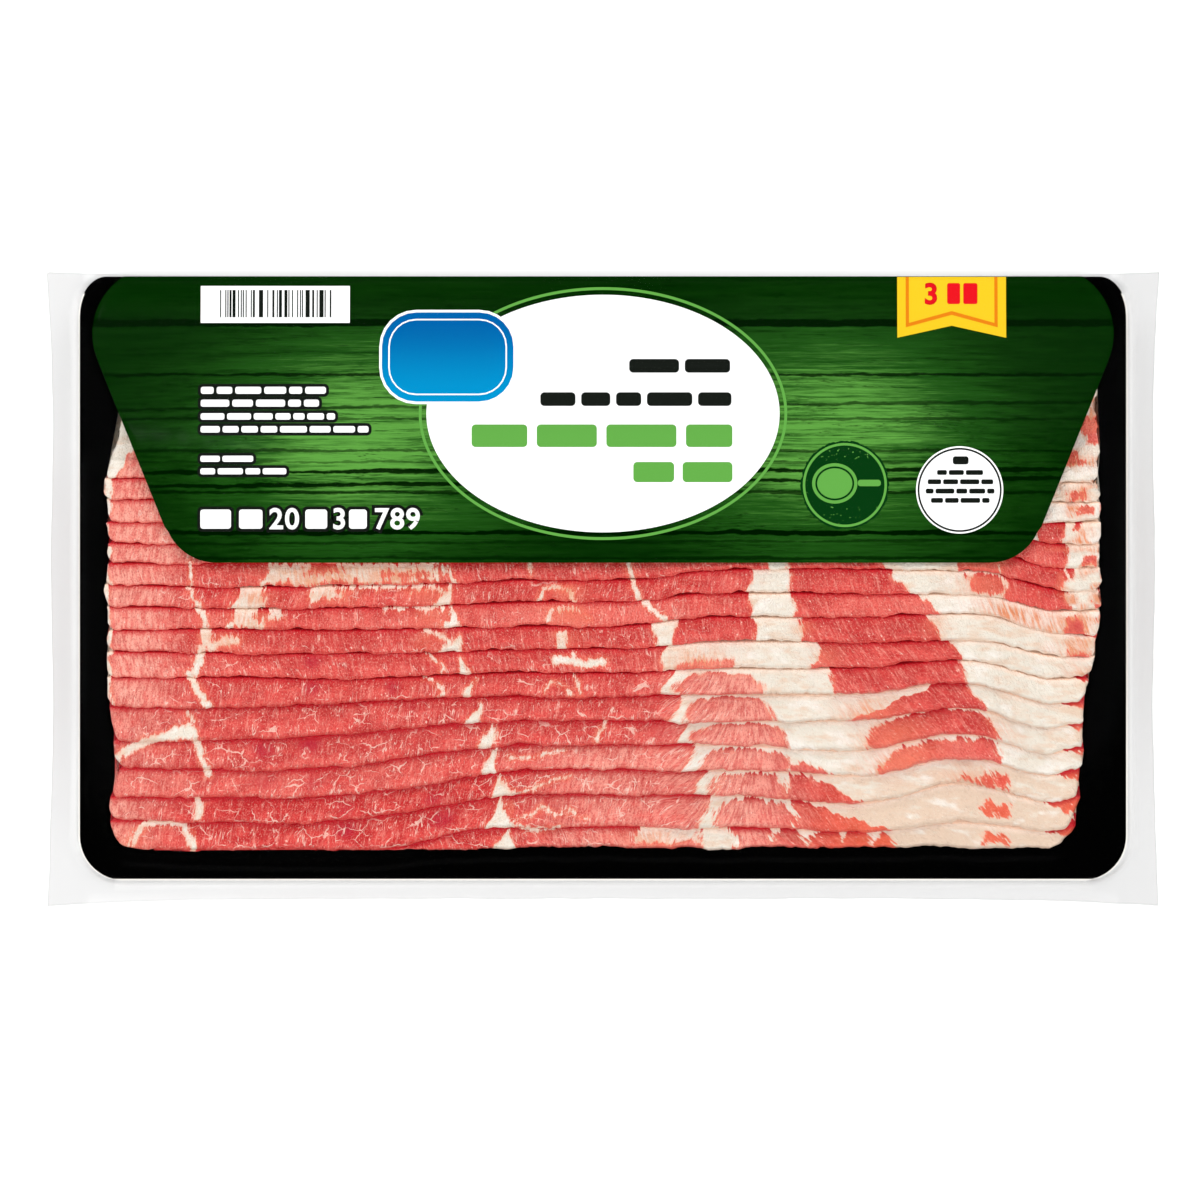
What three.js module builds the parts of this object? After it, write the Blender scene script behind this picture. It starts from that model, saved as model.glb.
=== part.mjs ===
// A sealed pack of sliced bacon, lying on its back with its front up. Sizes are in millimetres.
// X runs along the slices, Y from the pack's foot to the fold at its head, and Z up from the table.
// The slices are shingled on a board of folded card whose flap comes down over the head of the stack,
// and a clear film is sealed round them all.
import * as THREE from "three";

// Driving dimensions.
const BOARD_WIDTH = 260.4;
const BOARD_FOOT = -72.3;
const BOARD_HEAD = 77.6;
const BOARD_THICKNESS = 0.8;
const BOARD_FOOT_RADIUS = 11;
const BOARD_HEAD_RADIUS = 8.5;
const FOLD_WIDTH = 241.5;
const FOLD_INNER_RADIUS = 0.7;
const FLAP_FOOT = 6.5;
const FILM_HALF_LENGTH = 136.8;
const FILM_FOOT = -76.9;
const FILM_HEAD = 77.7;
const FILM_THICKNESS = 0.6;
const FILM_CORNER_REACH = { ends: 1.1, foot: 1.8, head: 1 };
const GAP = 0.3;
const SLICE_COUNT = 17;
const SLICE_THICKNESS = 2.85;
const FIRST_EDGE = -64.4;
const SECOND_EDGE = -59.5;
const THIRD_EDGE = -51.2;
const WIDEST_PITCH = 6.4;
const PITCH_LOSS = 0.05;

// What share of its thickness a slice has at its lower edge and at each of the edges over it.
const SLICE_SHARES = [0.7, 1, 1, 1, 1, 1, 0.6, 0.3];
const SLICE_COLUMNS = 18;

// The flap's outline, as half its width. Below the ears its sides run straight in to the foot's corners.
const EAR_HALF_WIDTH = 126.7;
const EAR_LEVEL = 63.3;
const EAR_RADIUS = 20;
const SIDE_HALF_WIDTH = 110.9;
const SIDE_LEVEL = 22.1;
const SIDE_SLOPE = 0.415;
const FLAP_CORNER_RADIUS = 13;
const FLAP_CORNER_CENTRE = 95.7;
const FLAP_CORNER_TOP = 14.5;

// The flap's height over the board, from its fold up to the crest of the stack and on to its foot.
const FLAP_RISE_END = 28;
const FLAP_CREST = 21.5;
const FLAP_FOOT_HEIGHT = 21.4;

// How the stack thins towards the slices' ends.
const END_THINNING = 0.26;
const THINNING_START = 78;
const THINNING_END = 128;
const END_SHARE = 0.82;

const FILM_TOP = FILM_THICKNESS;
const BOARD_BOTTOM = FILM_TOP + GAP;
const BOARD_TOP = BOARD_BOTTOM + BOARD_THICKNESS;
const STACK_BOTTOM = BOARD_TOP + GAP;

const COLOURS = {
  lean: 0xc9504a,
  fat: 0xe9d9c0,
  card: 0x0f4a16,
  film: 0xe6e8ea,
};

// 0 below start, 1 past end, and a smooth step between. Start may be the larger.
function step(start, end, value) {
  const t = Math.min(1, Math.max(0, (value - start) / (end - start)));
  return t * t * (3 - 2 * t);
}

function bump(centre, spread, value) {
  return Math.exp(-(((value - centre) / spread) ** 2));
}

// A seeded draw from -1 to 1, the same for the same two numbers.
function draw(row, column) {
  const s = Math.sin(row * 12.9898 + column * 78.233 + 4.7) * 43758.5453;
  return 2 * (s - Math.floor(s)) - 1;
}

// The level of one slice's lower edge half way along it. Rows past the last slice carry on as if it had more.
function edgeLevel(row) {
  const n = row - 2;
  return n < -1 ? FIRST_EDGE : n < 0 ? SECOND_EDGE : THIRD_EDGE + n * (WIDEST_PITCH - PITCH_LOSS * n);
}

// The lower edge of one slice. The lowest slices sag at the left. Nearer the right end the middle ones
// arch up and the upper ones lie higher, and all of them drop again just before it.
function edge(row, x) {
  const upper = step(5, 9, row);
  const sag = row < 2 ? 1.8 + 1.2 * row : 1.5 + 5.1 * (1 - step(3.5, 7, row));
  const arch = 2.9 * (1 - upper) * bump(87, 13, x) - 1.7 * (1 - step(3, 5.5, row)) * bump(62, 17, x);
  const lift = 2.2 * upper * step(4, 28, x) * (1 - step(92, 106, x)) - 2.3 * step(93, 107, x);
  let wander = 0;
  for (let wave = 1; wave <= 3; wave++) {
    const length = 190 / (wave + 0.6 * draw(row, wave));
    wander += (0.32 / wave) * Math.sin((2 * Math.PI * x) / length + 3 * draw(row, wave + 7));
  }
  return edgeLevel(row) - sag * step(-12, -80, x) + Math.min(1, row / 2) * (arch + lift) + wander;
}

// Where the slices end at the left and the right, along one lower edge.
function ends(row) {
  const hollow = 2.8 * bump(4.5, 1.1, row);
  const foot = row === 0 ? 6.4 : 0;
  const left = -122.9 + hollow + foot + 5 * step(16, 20, row) + 0.5 * draw(row, 21);
  const right = 117.6 + 5.9 * step(0, 12, row) - 0.7 * foot - 1.5 * step(12, 18, row) + 0.4 * draw(row, 22);
  return { left, right };
}

function thinning(x) {
  return 1 - END_THINNING * step(THINNING_START, THINNING_END, Math.abs(x));
}

// A closed sheet: two grids of corners, set by place(along, across, up) with each from 0 to 1, and a rim.
// Both grids are cut into triangles along the same diagonals, so that sheets can lie flat on one another.
function closedSheet(alongCount, acrossCount, place) {
  const wide = alongCount + 1;
  const layer = wide * (acrossCount + 1);
  const corners = [];
  for (let up = 0; up <= 1; up++) {
    for (let j = 0; j <= acrossCount; j++) {
      for (let i = 0; i <= alongCount; i++) corners.push(...place(i / alongCount, j / acrossCount, up));
    }
  }
  const faces = [];
  for (let j = 0; j < acrossCount; j++) {
    for (let i = 0; i < alongCount; i++) {
      const a = j * wide + i;
      const [b, c, d] = [a + 1, a + wide + 1, a + wide];
      faces.push(a, c, b, a, d, c);
      faces.push(a + layer, b + layer, c + layer, a + layer, c + layer, d + layer);
    }
  }
  const rim = [];
  for (let i = 0; i < alongCount; i++) rim.push(i);
  for (let j = 0; j < acrossCount; j++) rim.push(j * wide + alongCount);
  for (let i = alongCount; i > 0; i--) rim.push(acrossCount * wide + i);
  for (let j = acrossCount; j > 0; j--) rim.push(j * wide);
  rim.forEach((a, n) => {
    const b = rim[(n + 1) % rim.length];
    faces.push(a, b, b + layer, a, b + layer, a + layer);
  });
  const geometry = new THREE.BufferGeometry();
  geometry.setAttribute("position", new THREE.Float32BufferAttribute(corners, 3));
  geometry.setIndex(faces);
  geometry.computeVertexNormals();
  return geometry;
}

function mesh(name, geometry, colour, roughness) {
  const material = new THREE.MeshStandardMaterial({ color: colour, roughness, metalness: 0 });
  const made = new THREE.Mesh(geometry, material);
  made.name = name;
  return made;
}

// One slice of bacon: a long wavy strip that lies on those below it, with a blunt lower edge.
// Every slice has its corners where those of its neighbours are, so each lies flat on the next.
function sliceGeometry(slice) {
  const last = SLICE_SHARES.length - 1;
  return closedSheet(SLICE_COLUMNS, last, (along, across, up) => {
    const station = Math.round(across * last);
    const row = slice + station;
    const { left, right } = ends(row);
    const spread = along - (0.28 * Math.sin(2 * Math.PI * along)) / (2 * Math.PI);
    const x = left + (right - left) * spread;
    let below = 0;
    for (let other = Math.max(0, row - last); other < slice; other++) below += SLICE_SHARES[row - other];
    const column = Math.min(along, 1 - along) * SLICE_COLUMNS;
    const local = SLICE_THICKNESS * thinning(x) * (column < 0.5 ? END_SHARE : 1);
    const bottom = STACK_BOTTOM + local * below;
    return [x, edge(row, x), bottom + (up > 0.5 ? local * SLICE_SHARES[station] - GAP : 0)];
  });
}

// Half the flap's width at one level.
function flapHalfWidth(y) {
  if (y < FLAP_CORNER_TOP) {
    const rise = FLAP_FOOT + FLAP_CORNER_RADIUS - y;
    return FLAP_CORNER_CENTRE + Math.sqrt(Math.max(0, FLAP_CORNER_RADIUS ** 2 - rise ** 2));
  }
  const side = SIDE_HALF_WIDTH + SIDE_SLOPE * (y - SIDE_LEVEL);
  const above = Math.max(0, y - EAR_LEVEL);
  const ear = EAR_HALF_WIDTH - EAR_RADIUS + Math.sqrt(EAR_RADIUS ** 2 - above ** 2);
  return Math.min(side, ear);
}

// The middle of the flap's card over the board at one level.
function flapHeight(y) {
  const rise = step(BOARD_HEAD - 1, FLAP_RISE_END, y);
  const crest = FLAP_CREST + (FLAP_FOOT_HEIGHT - FLAP_CREST) * step(FLAP_RISE_END, FLAP_FOOT, y);
  return FOLD_CENTRE_HEIGHT + FOLD_MIDDLE_RADIUS + (crest - FOLD_CENTRE_HEIGHT - FOLD_MIDDLE_RADIUS) * rise;
}

const FOLD_MIDDLE_RADIUS = FOLD_INNER_RADIUS + BOARD_THICKNESS / 2;
const FOLD_CENTRE_HEIGHT = BOARD_TOP + FOLD_INNER_RADIUS;
const FOLD_LEVEL = BOARD_HEAD - FOLD_INNER_RADIUS - BOARD_THICKNESS;
const PANEL_MIDDLE = BOARD_BOTTOM + BOARD_THICKNESS / 2;
const FLAP_LEVELS = [72, 66.5, 61, 55, 48, 41, 35, 29, 22.1, FLAP_CORNER_TOP, 10.4, 7.8, FLAP_FOOT];

// The rows of the folded card from the panel's foot, over the fold, to the flap's foot.
// Each has its level, its height, the way its face looks and half its width.
function cardRows() {
  const half = BOARD_WIDTH / 2;
  const rows = [];
  const flat = (y, halfWidth) => rows.push({ y, z: PANEL_MIDDLE, ny: 0, nz: 1, halfWidth, flap: 0 });
  for (let turn = 0; turn <= 4; turn++) {
    const angle = (turn * Math.PI) / 8;
    const centre = BOARD_FOOT + BOARD_FOOT_RADIUS;
    flat(centre - BOARD_FOOT_RADIUS * Math.cos(angle), half - BOARD_FOOT_RADIUS * (1 - Math.sin(angle)));
  }
  flat(0, half);
  for (let turn = 0; turn <= 4; turn++) {
    const angle = (turn * Math.PI) / 8;
    const reach = half - FOLD_WIDTH / 2;
    flat(
      FOLD_LEVEL - BOARD_HEAD_RADIUS * (1 - Math.sin(angle)),
      half - reach * (1 - Math.cos(angle)),
    );
  }
  for (let turn = 1; turn <= 4; turn++) {
    const angle = (turn * Math.PI) / 4;
    rows.push({
      y: FOLD_LEVEL + FOLD_MIDDLE_RADIUS * Math.sin(angle),
      z: FOLD_CENTRE_HEIGHT - FOLD_MIDDLE_RADIUS * Math.cos(angle),
      ny: -Math.sin(angle),
      nz: Math.cos(angle),
      halfWidth: FOLD_WIDTH / 2,
      flap: 0,
    });
  }
  for (const y of FLAP_LEVELS) {
    const slope = (flapHeight(y + 0.5) - flapHeight(y - 0.5)) / Math.hypot(1, flapHeight(y + 0.5) - flapHeight(y - 0.5));
    rows.push({ y, z: flapHeight(y), ny: slope, nz: -1, halfWidth: flapHalfWidth(y), flap: 1 });
  }
  return rows;
}

const CARD_ACROSS = 12;

// The folded card: the panel behind the slices and the flap over their head are one sheet.
function cardGeometry() {
  const rows = cardRows();
  const last = rows.length - 1;
  return closedSheet(CARD_ACROSS, last, (along, across, up) => {
    const row = rows[Math.round(across * last)];
    const x = (2 * along - 1) * row.halfWidth;
    const length = Math.hypot(row.ny, row.nz);
    const shift = (up - 0.5) * BOARD_THICKNESS;
    const lift = row.flap ? (row.z - FOLD_CENTRE_HEIGHT) * thinning(x) + FOLD_CENTRE_HEIGHT : row.z;
    return [x, row.y + (shift * row.ny) / length, lift + (shift * row.nz) / length];
  });
}

const FILM_ALONG = 14;
const FILM_ACROSS = 10;

// The sealed film: the web under the board, and the flat seam that stands out round it to pulled-out corners.
function filmGeometry() {
  return closedSheet(FILM_ALONG, FILM_ACROSS, (along, across, up) => {
    const a = 2 * along - 1;
    const b = 2 * across - 1;
    const corner = (a * b) ** 6;
    const wave = 0.25 * Math.sin(7 * b + 1) * Math.abs(a);
    const x = a * (FILM_HALF_LENGTH + wave + FILM_CORNER_REACH.ends * corner);
    const y = b > 0
      ? b * (FILM_HEAD + FILM_CORNER_REACH.head * corner)
      : -b * (FILM_FOOT - FILM_CORNER_REACH.foot * corner);
    return [x, y, up * FILM_THICKNESS];
  });
}

const pack = new THREE.Group();
pack.add(mesh("film_pouch", filmGeometry(), COLOURS.film, 0.25));
pack.add(mesh("folded_card", cardGeometry(), COLOURS.card, 0.45));
for (let slice = 0; slice < SLICE_COUNT; slice++) {
  const name = "slice_" + String(slice + 1).padStart(2, "0");
  pack.add(mesh(name, sliceGeometry(slice), slice % 3 === 2 ? COLOURS.fat : COLOURS.lean, 0.35));
}

export default pack;
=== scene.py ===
"""Looks of a flat pack of sliced bacon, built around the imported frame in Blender.

Lengths inside the classes are millimetres in the frame's own axes; meshes are written in metres.
X runs along the slices, Y from the pack's foot to the fold at its head, and Z up from the table.
"""

import logging
import math
from dataclasses import dataclass, field
from enum import Enum
from typing import Callable, Optional, Sequence

import bmesh
import bpy
import numpy as np
from mathutils import Matrix, Vector

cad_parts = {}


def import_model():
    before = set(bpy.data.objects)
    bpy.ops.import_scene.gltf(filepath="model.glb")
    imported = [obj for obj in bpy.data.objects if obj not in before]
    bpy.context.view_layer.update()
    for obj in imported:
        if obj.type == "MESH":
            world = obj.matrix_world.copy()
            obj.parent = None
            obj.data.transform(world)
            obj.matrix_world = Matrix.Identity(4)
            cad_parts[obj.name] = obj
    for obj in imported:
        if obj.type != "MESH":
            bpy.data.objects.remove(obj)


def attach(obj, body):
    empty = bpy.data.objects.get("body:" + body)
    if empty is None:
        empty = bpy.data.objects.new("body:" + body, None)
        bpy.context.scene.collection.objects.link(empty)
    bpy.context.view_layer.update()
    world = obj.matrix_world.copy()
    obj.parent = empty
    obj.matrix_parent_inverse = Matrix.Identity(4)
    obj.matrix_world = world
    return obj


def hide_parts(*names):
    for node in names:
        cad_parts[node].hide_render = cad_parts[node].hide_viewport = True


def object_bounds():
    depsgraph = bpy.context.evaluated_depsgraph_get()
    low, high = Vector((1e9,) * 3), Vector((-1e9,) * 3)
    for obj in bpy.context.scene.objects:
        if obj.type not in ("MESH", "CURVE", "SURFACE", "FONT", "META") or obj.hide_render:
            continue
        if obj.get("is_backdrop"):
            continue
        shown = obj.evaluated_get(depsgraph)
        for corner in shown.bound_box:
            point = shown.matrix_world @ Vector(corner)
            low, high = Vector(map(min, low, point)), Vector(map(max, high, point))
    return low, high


LOG = logging.getLogger("pack")
MM = 0.001
Array = np.ndarray
Colour = tuple[float, float, float]
Loop = list[tuple[float, float]]
Socket = bpy.types.NodeSocket


class Slot(str, Enum):
    """Names of the material slots."""

    FILM = "clear_film"
    CARD = "printed_card"
    BOARD = "board_black"
    WHITE = "print_white"
    BLUE = "print_blue"
    YELLOW = "print_yellow"
    LIME = "print_lime"
    DARK = "print_dark"
    RED = "print_red"
    BACON = "bacon"


class Kind(Enum):
    """Forms of a patch of fat or lean on one slice."""

    FAT = "fat block"
    LEAN = "lean block"
    DOME = "lean dome"
    PEAK = "fat triangle on the lower edge"
    SPIKE = "fat triangle at the upper edge"


def smooth_step(low: float, high: float, value: Array) -> Array:
    """Returns a smooth rise from 0 at low to 1 at high, for either order of the two."""
    t = np.clip((np.asarray(value, float) - low) / (high - low), 0, 1)
    return t * t * (3 - 2 * t)


def bell(centre: float, spread: float, value: Array) -> Array:
    """Returns a bell curve that is 1 at its centre."""
    return np.exp(-(((np.asarray(value, float) - centre) / spread) ** 2))


def draw(row: float, column: float) -> float:
    """Returns the fixed number in -1..1 that belongs to a row and a column."""
    s = math.sin(row * 12.9898 + column * 78.233 + 4.7) * 43758.5453
    return 2 * (s - math.floor(s)) - 1


def srgb(red: float, green: float, blue: float) -> Colour:
    """Returns linear values for a colour given as 0..255 screen values."""
    def linear(value: float) -> float:
        """Returns the linear value of one channel."""
        c = value / 255
        return c / 12.92 if c <= 0.04045 else ((c + 0.055) / 1.055) ** 2.4

    return linear(red), linear(green), linear(blue)


@dataclass(frozen=True)
class LatticeNoise:
    """Smooth random values over a plane, the same in every run.

    Attributes:
        seed: Which set of values is used.
        size: Number of steps after which the values repeat.
    """

    seed: int
    size: int = 64

    def sample(self, u: Array, v: Array) -> Array:
        """Returns values in -1..1.

        Args:
            u: First coordinate, in lattice steps.
            v: Second coordinate, in lattice steps.

        Returns:
            The values.
        """
        table = np.random.default_rng(self.seed).uniform(-1, 1, (self.size, self.size))
        u, v = np.broadcast_arrays(np.asarray(u, float), np.asarray(v, float))
        i, j = np.floor(u).astype(int), np.floor(v).astype(int)
        f, g = u - i, v - j
        f, g = f * f * (3 - 2 * f), g * g * (3 - 2 * g)
        n = self.size
        low = table[i % n, j % n] * (1 - f) + table[(i + 1) % n, j % n] * f
        high = table[i % n, (j + 1) % n] * (1 - f) + table[(i + 1) % n, (j + 1) % n] * f
        return low * (1 - g) + high * g


class NodeWriter:
    """Adds shader nodes to one tree and joins them."""

    def __init__(self, tree: bpy.types.NodeTree) -> None:
        """Keeps the tree that the nodes go into."""
        self.tree = tree

    def add(self, kind: str, **settings: object) -> bpy.types.Node:
        """Adds a node.

        Args:
            kind: Type name of the node.
            settings: Properties of the node.

        Returns:
            The new node.
        """
        node = self.tree.nodes.new(kind)
        for name, value in settings.items():
            setattr(node, name, value)
        return node

    def feed(self, socket: Socket, value: object) -> None:
        """Joins a socket to another node's output, or sets its constant."""
        if isinstance(value, Socket):
            self.tree.links.new(value, socket)
        elif isinstance(value, tuple) and len(value) == 3 and socket.type == "RGBA":
            socket.default_value = (*value, 1.0)
        else:
            socket.default_value = value

    def math(self, operation: str, *values: object) -> Socket:
        """Returns the result of a number operation on numbers or sockets."""
        node = self.add("ShaderNodeMath", operation=operation)
        for socket, value in zip(node.inputs, values):
            self.feed(socket, value)
        return node.outputs[0]

    def plus(self, first: object, second: object) -> Socket:
        """Returns the sum of two numbers."""
        return self.math("ADD", first, second)

    def minus(self, first: object, second: object) -> Socket:
        """Returns the difference of two numbers."""
        return self.math("SUBTRACT", first, second)

    def times(self, first: object, second: object) -> Socket:
        """Returns the product of two numbers."""
        return self.math("MULTIPLY", first, second)

    def swing(self, value: object, reach: object) -> Socket:
        """Returns how far a value in 0..1 swings about its middle, times a reach."""
        return self.times(self.minus(value, 0.5), reach)

    def absolute(self, value: object) -> Socket:
        """Returns a number without its sign."""
        return self.math("ABSOLUTE", value)

    def scaled(self, vector: Socket, x: float, y: float, z: float = 1.0) -> Socket:
        """Returns a vector multiplied axis by axis."""
        node = self.add("ShaderNodeVectorMath", operation="MULTIPLY")
        self.feed(node.inputs[0], vector)
        self.feed(node.inputs[1], (x, y, z))
        return node.outputs[0]

    def shifted(self, vector: Socket, other: object) -> Socket:
        """Returns the sum of two vectors."""
        node = self.add("ShaderNodeVectorMath", operation="ADD")
        self.feed(node.inputs[0], vector)
        self.feed(node.inputs[1], other)
        return node.outputs[0]

    def noise(self, vector: Socket, detail: float = 2.0, roughness: float = 0.5,
              colour: bool = False) -> Socket:
        """Returns noise in about 0..1.

        Args:
            vector: Coordinates, in lattice steps.
            detail: Number of finer layers.
            roughness: Weight of the finer layers.
            colour: Whether three separate values are wanted.

        Returns:
            The noise.
        """
        node = self.add("ShaderNodeTexNoise")
        entries = {"Vector": vector, "Scale": 1.0, "Detail": detail, "Roughness": roughness}
        for label, value in entries.items():
            self.feed(node.inputs[label], value)
        return node.outputs[1 if colour else 0]

    def cells(self, vector: Socket, feature: str = "F1") -> Socket:
        """Returns the distance given by a cell pattern: F1 or DISTANCE_TO_EDGE."""
        node = self.add("ShaderNodeTexVoronoi", feature=feature)
        for label, value in (("Vector", vector), ("Scale", 1.0), ("Randomness", 1.0)):
            self.feed(node.inputs[label], value)
        return node.outputs[0]

    def ramp(self, value: object, low: object, high: object, start: object = 0.0,
             end: object = 1.0) -> Socket:
        """Returns a smooth passage between two numbers.

        Args:
            value: What the result depends on.
            low: Value at which the result is start.
            high: Value at which the result is end.
            start: Result at low.
            end: Result at high.

        Returns:
            The result.
        """
        node = self.add("ShaderNodeMapRange", interpolation_type="SMOOTHSTEP")
        for socket, entry in zip(node.inputs, (value, low, high, start, end)):
            self.feed(socket, entry)
        return node.outputs[0]

    def mix(self, share: object, first: object, second: object) -> Socket:
        """Returns a mixture of two colours.

        Args:
            share: Share of the second colour.
            first: Colour or socket.
            second: Colour or socket.

        Returns:
            The mixed colour.
        """
        node = self.add("ShaderNodeMix", data_type="RGBA", clamp_factor=True)
        for place, value in ((0, share), (6, first), (7, second)):
            self.feed(node.inputs[place], value)
        return node.outputs[2]


def node_group(name: str, inputs: Sequence[tuple[str, str]], outputs: Sequence[tuple[str, str]],
               fill: Callable[[NodeWriter, dict], dict]) -> bpy.types.NodeTree:
    """Builds a shader node group.

    Args:
        name: Name of the group.
        inputs: Pairs of name and socket kind: Float, Color or Vector.
        outputs: The same for the outputs.
        fill: Adds the nodes; it is given the writer and the input sockets and returns the output values.

    Returns:
        The group's tree.
    """
    tree = bpy.data.node_groups.new(name, "ShaderNodeTree")
    for label, kind in inputs:
        tree.interface.new_socket(label, in_out="INPUT", socket_type=f"NodeSocket{kind}")
    for label, kind in outputs:
        tree.interface.new_socket(label, in_out="OUTPUT", socket_type=f"NodeSocket{kind}")
    writer = NodeWriter(tree)
    entry, leave = writer.add("NodeGroupInput"), writer.add("NodeGroupOutput")
    results = fill(writer, {label: entry.outputs[label] for label, _ in inputs})
    for label, value in results.items():
        writer.feed(leave.inputs[label], value)
    return tree


def new_material(name: str) -> tuple[bpy.types.Material, NodeWriter, bpy.types.Node]:
    """Returns a material with its writer and its Principled node."""
    material = bpy.data.materials.new(name)
    material.use_nodes = True
    writer = NodeWriter(material.node_tree)
    return material, writer, material.node_tree.nodes["Principled BSDF"]


@dataclass(frozen=True)
class PlainFinish:
    """One even colour.

    Attributes:
        name: Name of the material.
        colour: Linear colour.
        roughness: Roughness.
        sheen: Strength of the plain reflection, 0 to 1.
    """

    name: str
    colour: Colour
    roughness: float = 0.35
    sheen: float = 0.0

    def material(self) -> bpy.types.Material:
        """Returns the material."""
        material, _, shader = new_material(self.name)
        shader.inputs["Base Color"].default_value = (*self.colour, 1)
        shader.inputs["Roughness"].default_value = self.roughness
        shader.inputs["Specular IOR Level"].default_value = self.sheen
        return material


@dataclass(frozen=True)
class FadeFinish:
    """Two colours that pass into each other along Y.

    Attributes:
        name: Name of the material.
        upper: Linear colour at the upper level.
        lower: Linear colour at the lower level.
        levels: Lower and upper Y in mm.
    """

    name: str
    upper: Colour
    lower: Colour
    levels: tuple[float, float]

    def material(self) -> bpy.types.Material:
        """Returns the material."""
        material, w, shader = new_material(self.name)
        place = w.add("ShaderNodeTexCoord").outputs["Object"]
        parts = w.add("ShaderNodeSeparateXYZ")
        w.feed(parts.inputs[0], place)
        share = w.ramp(parts.outputs[1], self.levels[0] * MM, self.levels[1] * MM)
        w.feed(shader.inputs["Base Color"], w.mix(share, self.lower, self.upper))
        shader.inputs["Roughness"].default_value = 0.35
        shader.inputs["Specular IOR Level"].default_value = 0.0
        return material


@dataclass(frozen=True)
class PlankFinish:
    """Printed green planks with a glow on either side of the card's middle.

    Attributes:
        dark: Linear colour at the card's ends.
        middle: Linear colour between.
        bright: Linear colour in the glow.
        gap: Linear colour in the gaps between the planks.
        gaps: The gaps: level in mm, slope, half width in mm and depth.
        lobes: Centres of the glow in X, in mm.
    """

    dark: Colour = srgb(0, 28, 0)
    middle: Colour = srgb(25, 72, 17)
    bright: Colour = srgb(86, 148, 60)
    gap: Colour = srgb(0, 20, 0)
    gaps: tuple[tuple[float, float, float, float], ...] = (
        (66.0, 0.0, 0.75, 1.0), (53.1, 0.0, 0.2, 0.75), (45.4, 0.008, 0.2, 0.6), (42.1, 0.0, 0.16, 0.55),
        (34.2, 0.0, 0.22, 0.6), (31.4, 0.0, 0.14, 0.45), (29.2, 0.004, 0.32, 0.8), (26.4, 0.01, 0.3, 0.8),
        (23.9, 0.0, 0.22, 0.7), (13.9, 0.0, 0.4, 0.85), (11.6, 0.004, 0.16, 0.5), (7.6, 0.0, 0.2, 0.6))
    lobes: tuple[float, float] = (-58.0, 56.0)

    def material(self) -> bpy.types.Material:
        """Returns the material."""
        material, w, shader = new_material("plank print")
        place = w.scaled(w.add("ShaderNodeTexCoord").outputs["Object"], 1000, 1000, 1000)
        group = w.add("ShaderNodeGroup")
        group.node_tree = node_group("Plank print", [("Place", "Vector")], [("Colour", "Color")], self._fill)
        w.feed(group.inputs[0], place)
        w.feed(shader.inputs["Base Color"], group.outputs[0])
        shader.inputs["Roughness"].default_value = 0.35
        shader.inputs["Specular IOR Level"].default_value = 0.0
        return material

    def _fill(self, w: NodeWriter, given: dict) -> dict:
        """Adds the glow, the grain and the gaps between the planks."""
        place = given["Place"]
        parts = w.add("ShaderNodeSeparateXYZ")
        w.feed(parts.inputs[0], place)
        x, y = parts.outputs[0], parts.outputs[1]
        # A glow on either side of the middle, dim above the uppermost gap.
        fall = w.math("DIVIDE", w.minus(y, 38.0), 24.0)
        fall = w.times(fall, fall)
        glow: object = 0.0
        for lobe in self.lobes:
            side = w.math("DIVIDE", w.minus(x, lobe), 33.0)
            reach = w.plus(w.times(side, side), fall)
            glow = w.plus(glow, w.math("POWER", 2.718, w.times(reach, -1.0)))
        glow = w.times(glow, w.ramp(y, 65.2, 66.6, 1.0, 0.42))
        # Grain in three widths.
        broad = w.noise(w.scaled(place, 0.016, 0.16), 3.0)
        grain = w.noise(w.scaled(place, 0.035, 1.15), 4.0, 0.62)
        fine = w.noise(w.scaled(place, 0.16, 2.9), 3.0, 0.65)
        streak = w.plus(w.swing(grain, 1.5), w.swing(fine, 1.3))
        streak = w.plus(streak, w.swing(broad, 0.9))
        level = w.times(w.plus(glow, 0.1), w.plus(streak, 1.0))
        colour = w.mix(w.ramp(level, 0.0, 0.5), self.dark, self.middle)
        colour = w.mix(w.ramp(level, 0.42, 1.25), colour, self.bright)
        # Fine cracks, then the gaps between the planks.
        crack = w.noise(w.shifted(w.scaled(place, 0.035, 0.55), (7.0, 3.0, 0.0)), 4.0, 0.62)
        crack = w.ramp(w.absolute(w.minus(crack, 0.5)), 0.0, 0.016, 1.0, 0.0)
        dark: object = w.times(crack, w.ramp(w.noise(w.scaled(place, 0.02, 0.3)), 0.44, 0.56, 0.0, 0.75))
        chip = w.minus(w.noise(w.scaled(place, 0.3, 1.1), 2.0, 0.6), 0.5)
        for index, (line, slope, half, depth) in enumerate(self.gaps):
            wave = w.noise(w.scaled(place, 0.045, 0.0, 0.0), 3.0, 0.6)
            weight = w.noise(w.shifted(w.scaled(place, 0.03, 0.0, 0.0), (5.3 * index, 0.0, 0.0)), 2.0)
            centre = w.plus(w.swing(wave, 1.6 if index else 0.5), line)
            centre = w.plus(centre, w.times(x, slope))
            away = w.plus(w.absolute(w.minus(y, centre)), w.times(chip, 1.1))
            wide = w.times(half, w.ramp(weight, 0.3, 0.6, 0.35 if index else 0.9, 1.4 if index else 1.1))
            mark = w.ramp(away, wide, w.plus(wide, 0.3), min(1.0, depth * 1.2), 0.0)
            dark = w.math("MAXIMUM", dark, mark)
        return {"Colour": w.mix(dark, colour, self.gap)}


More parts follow.
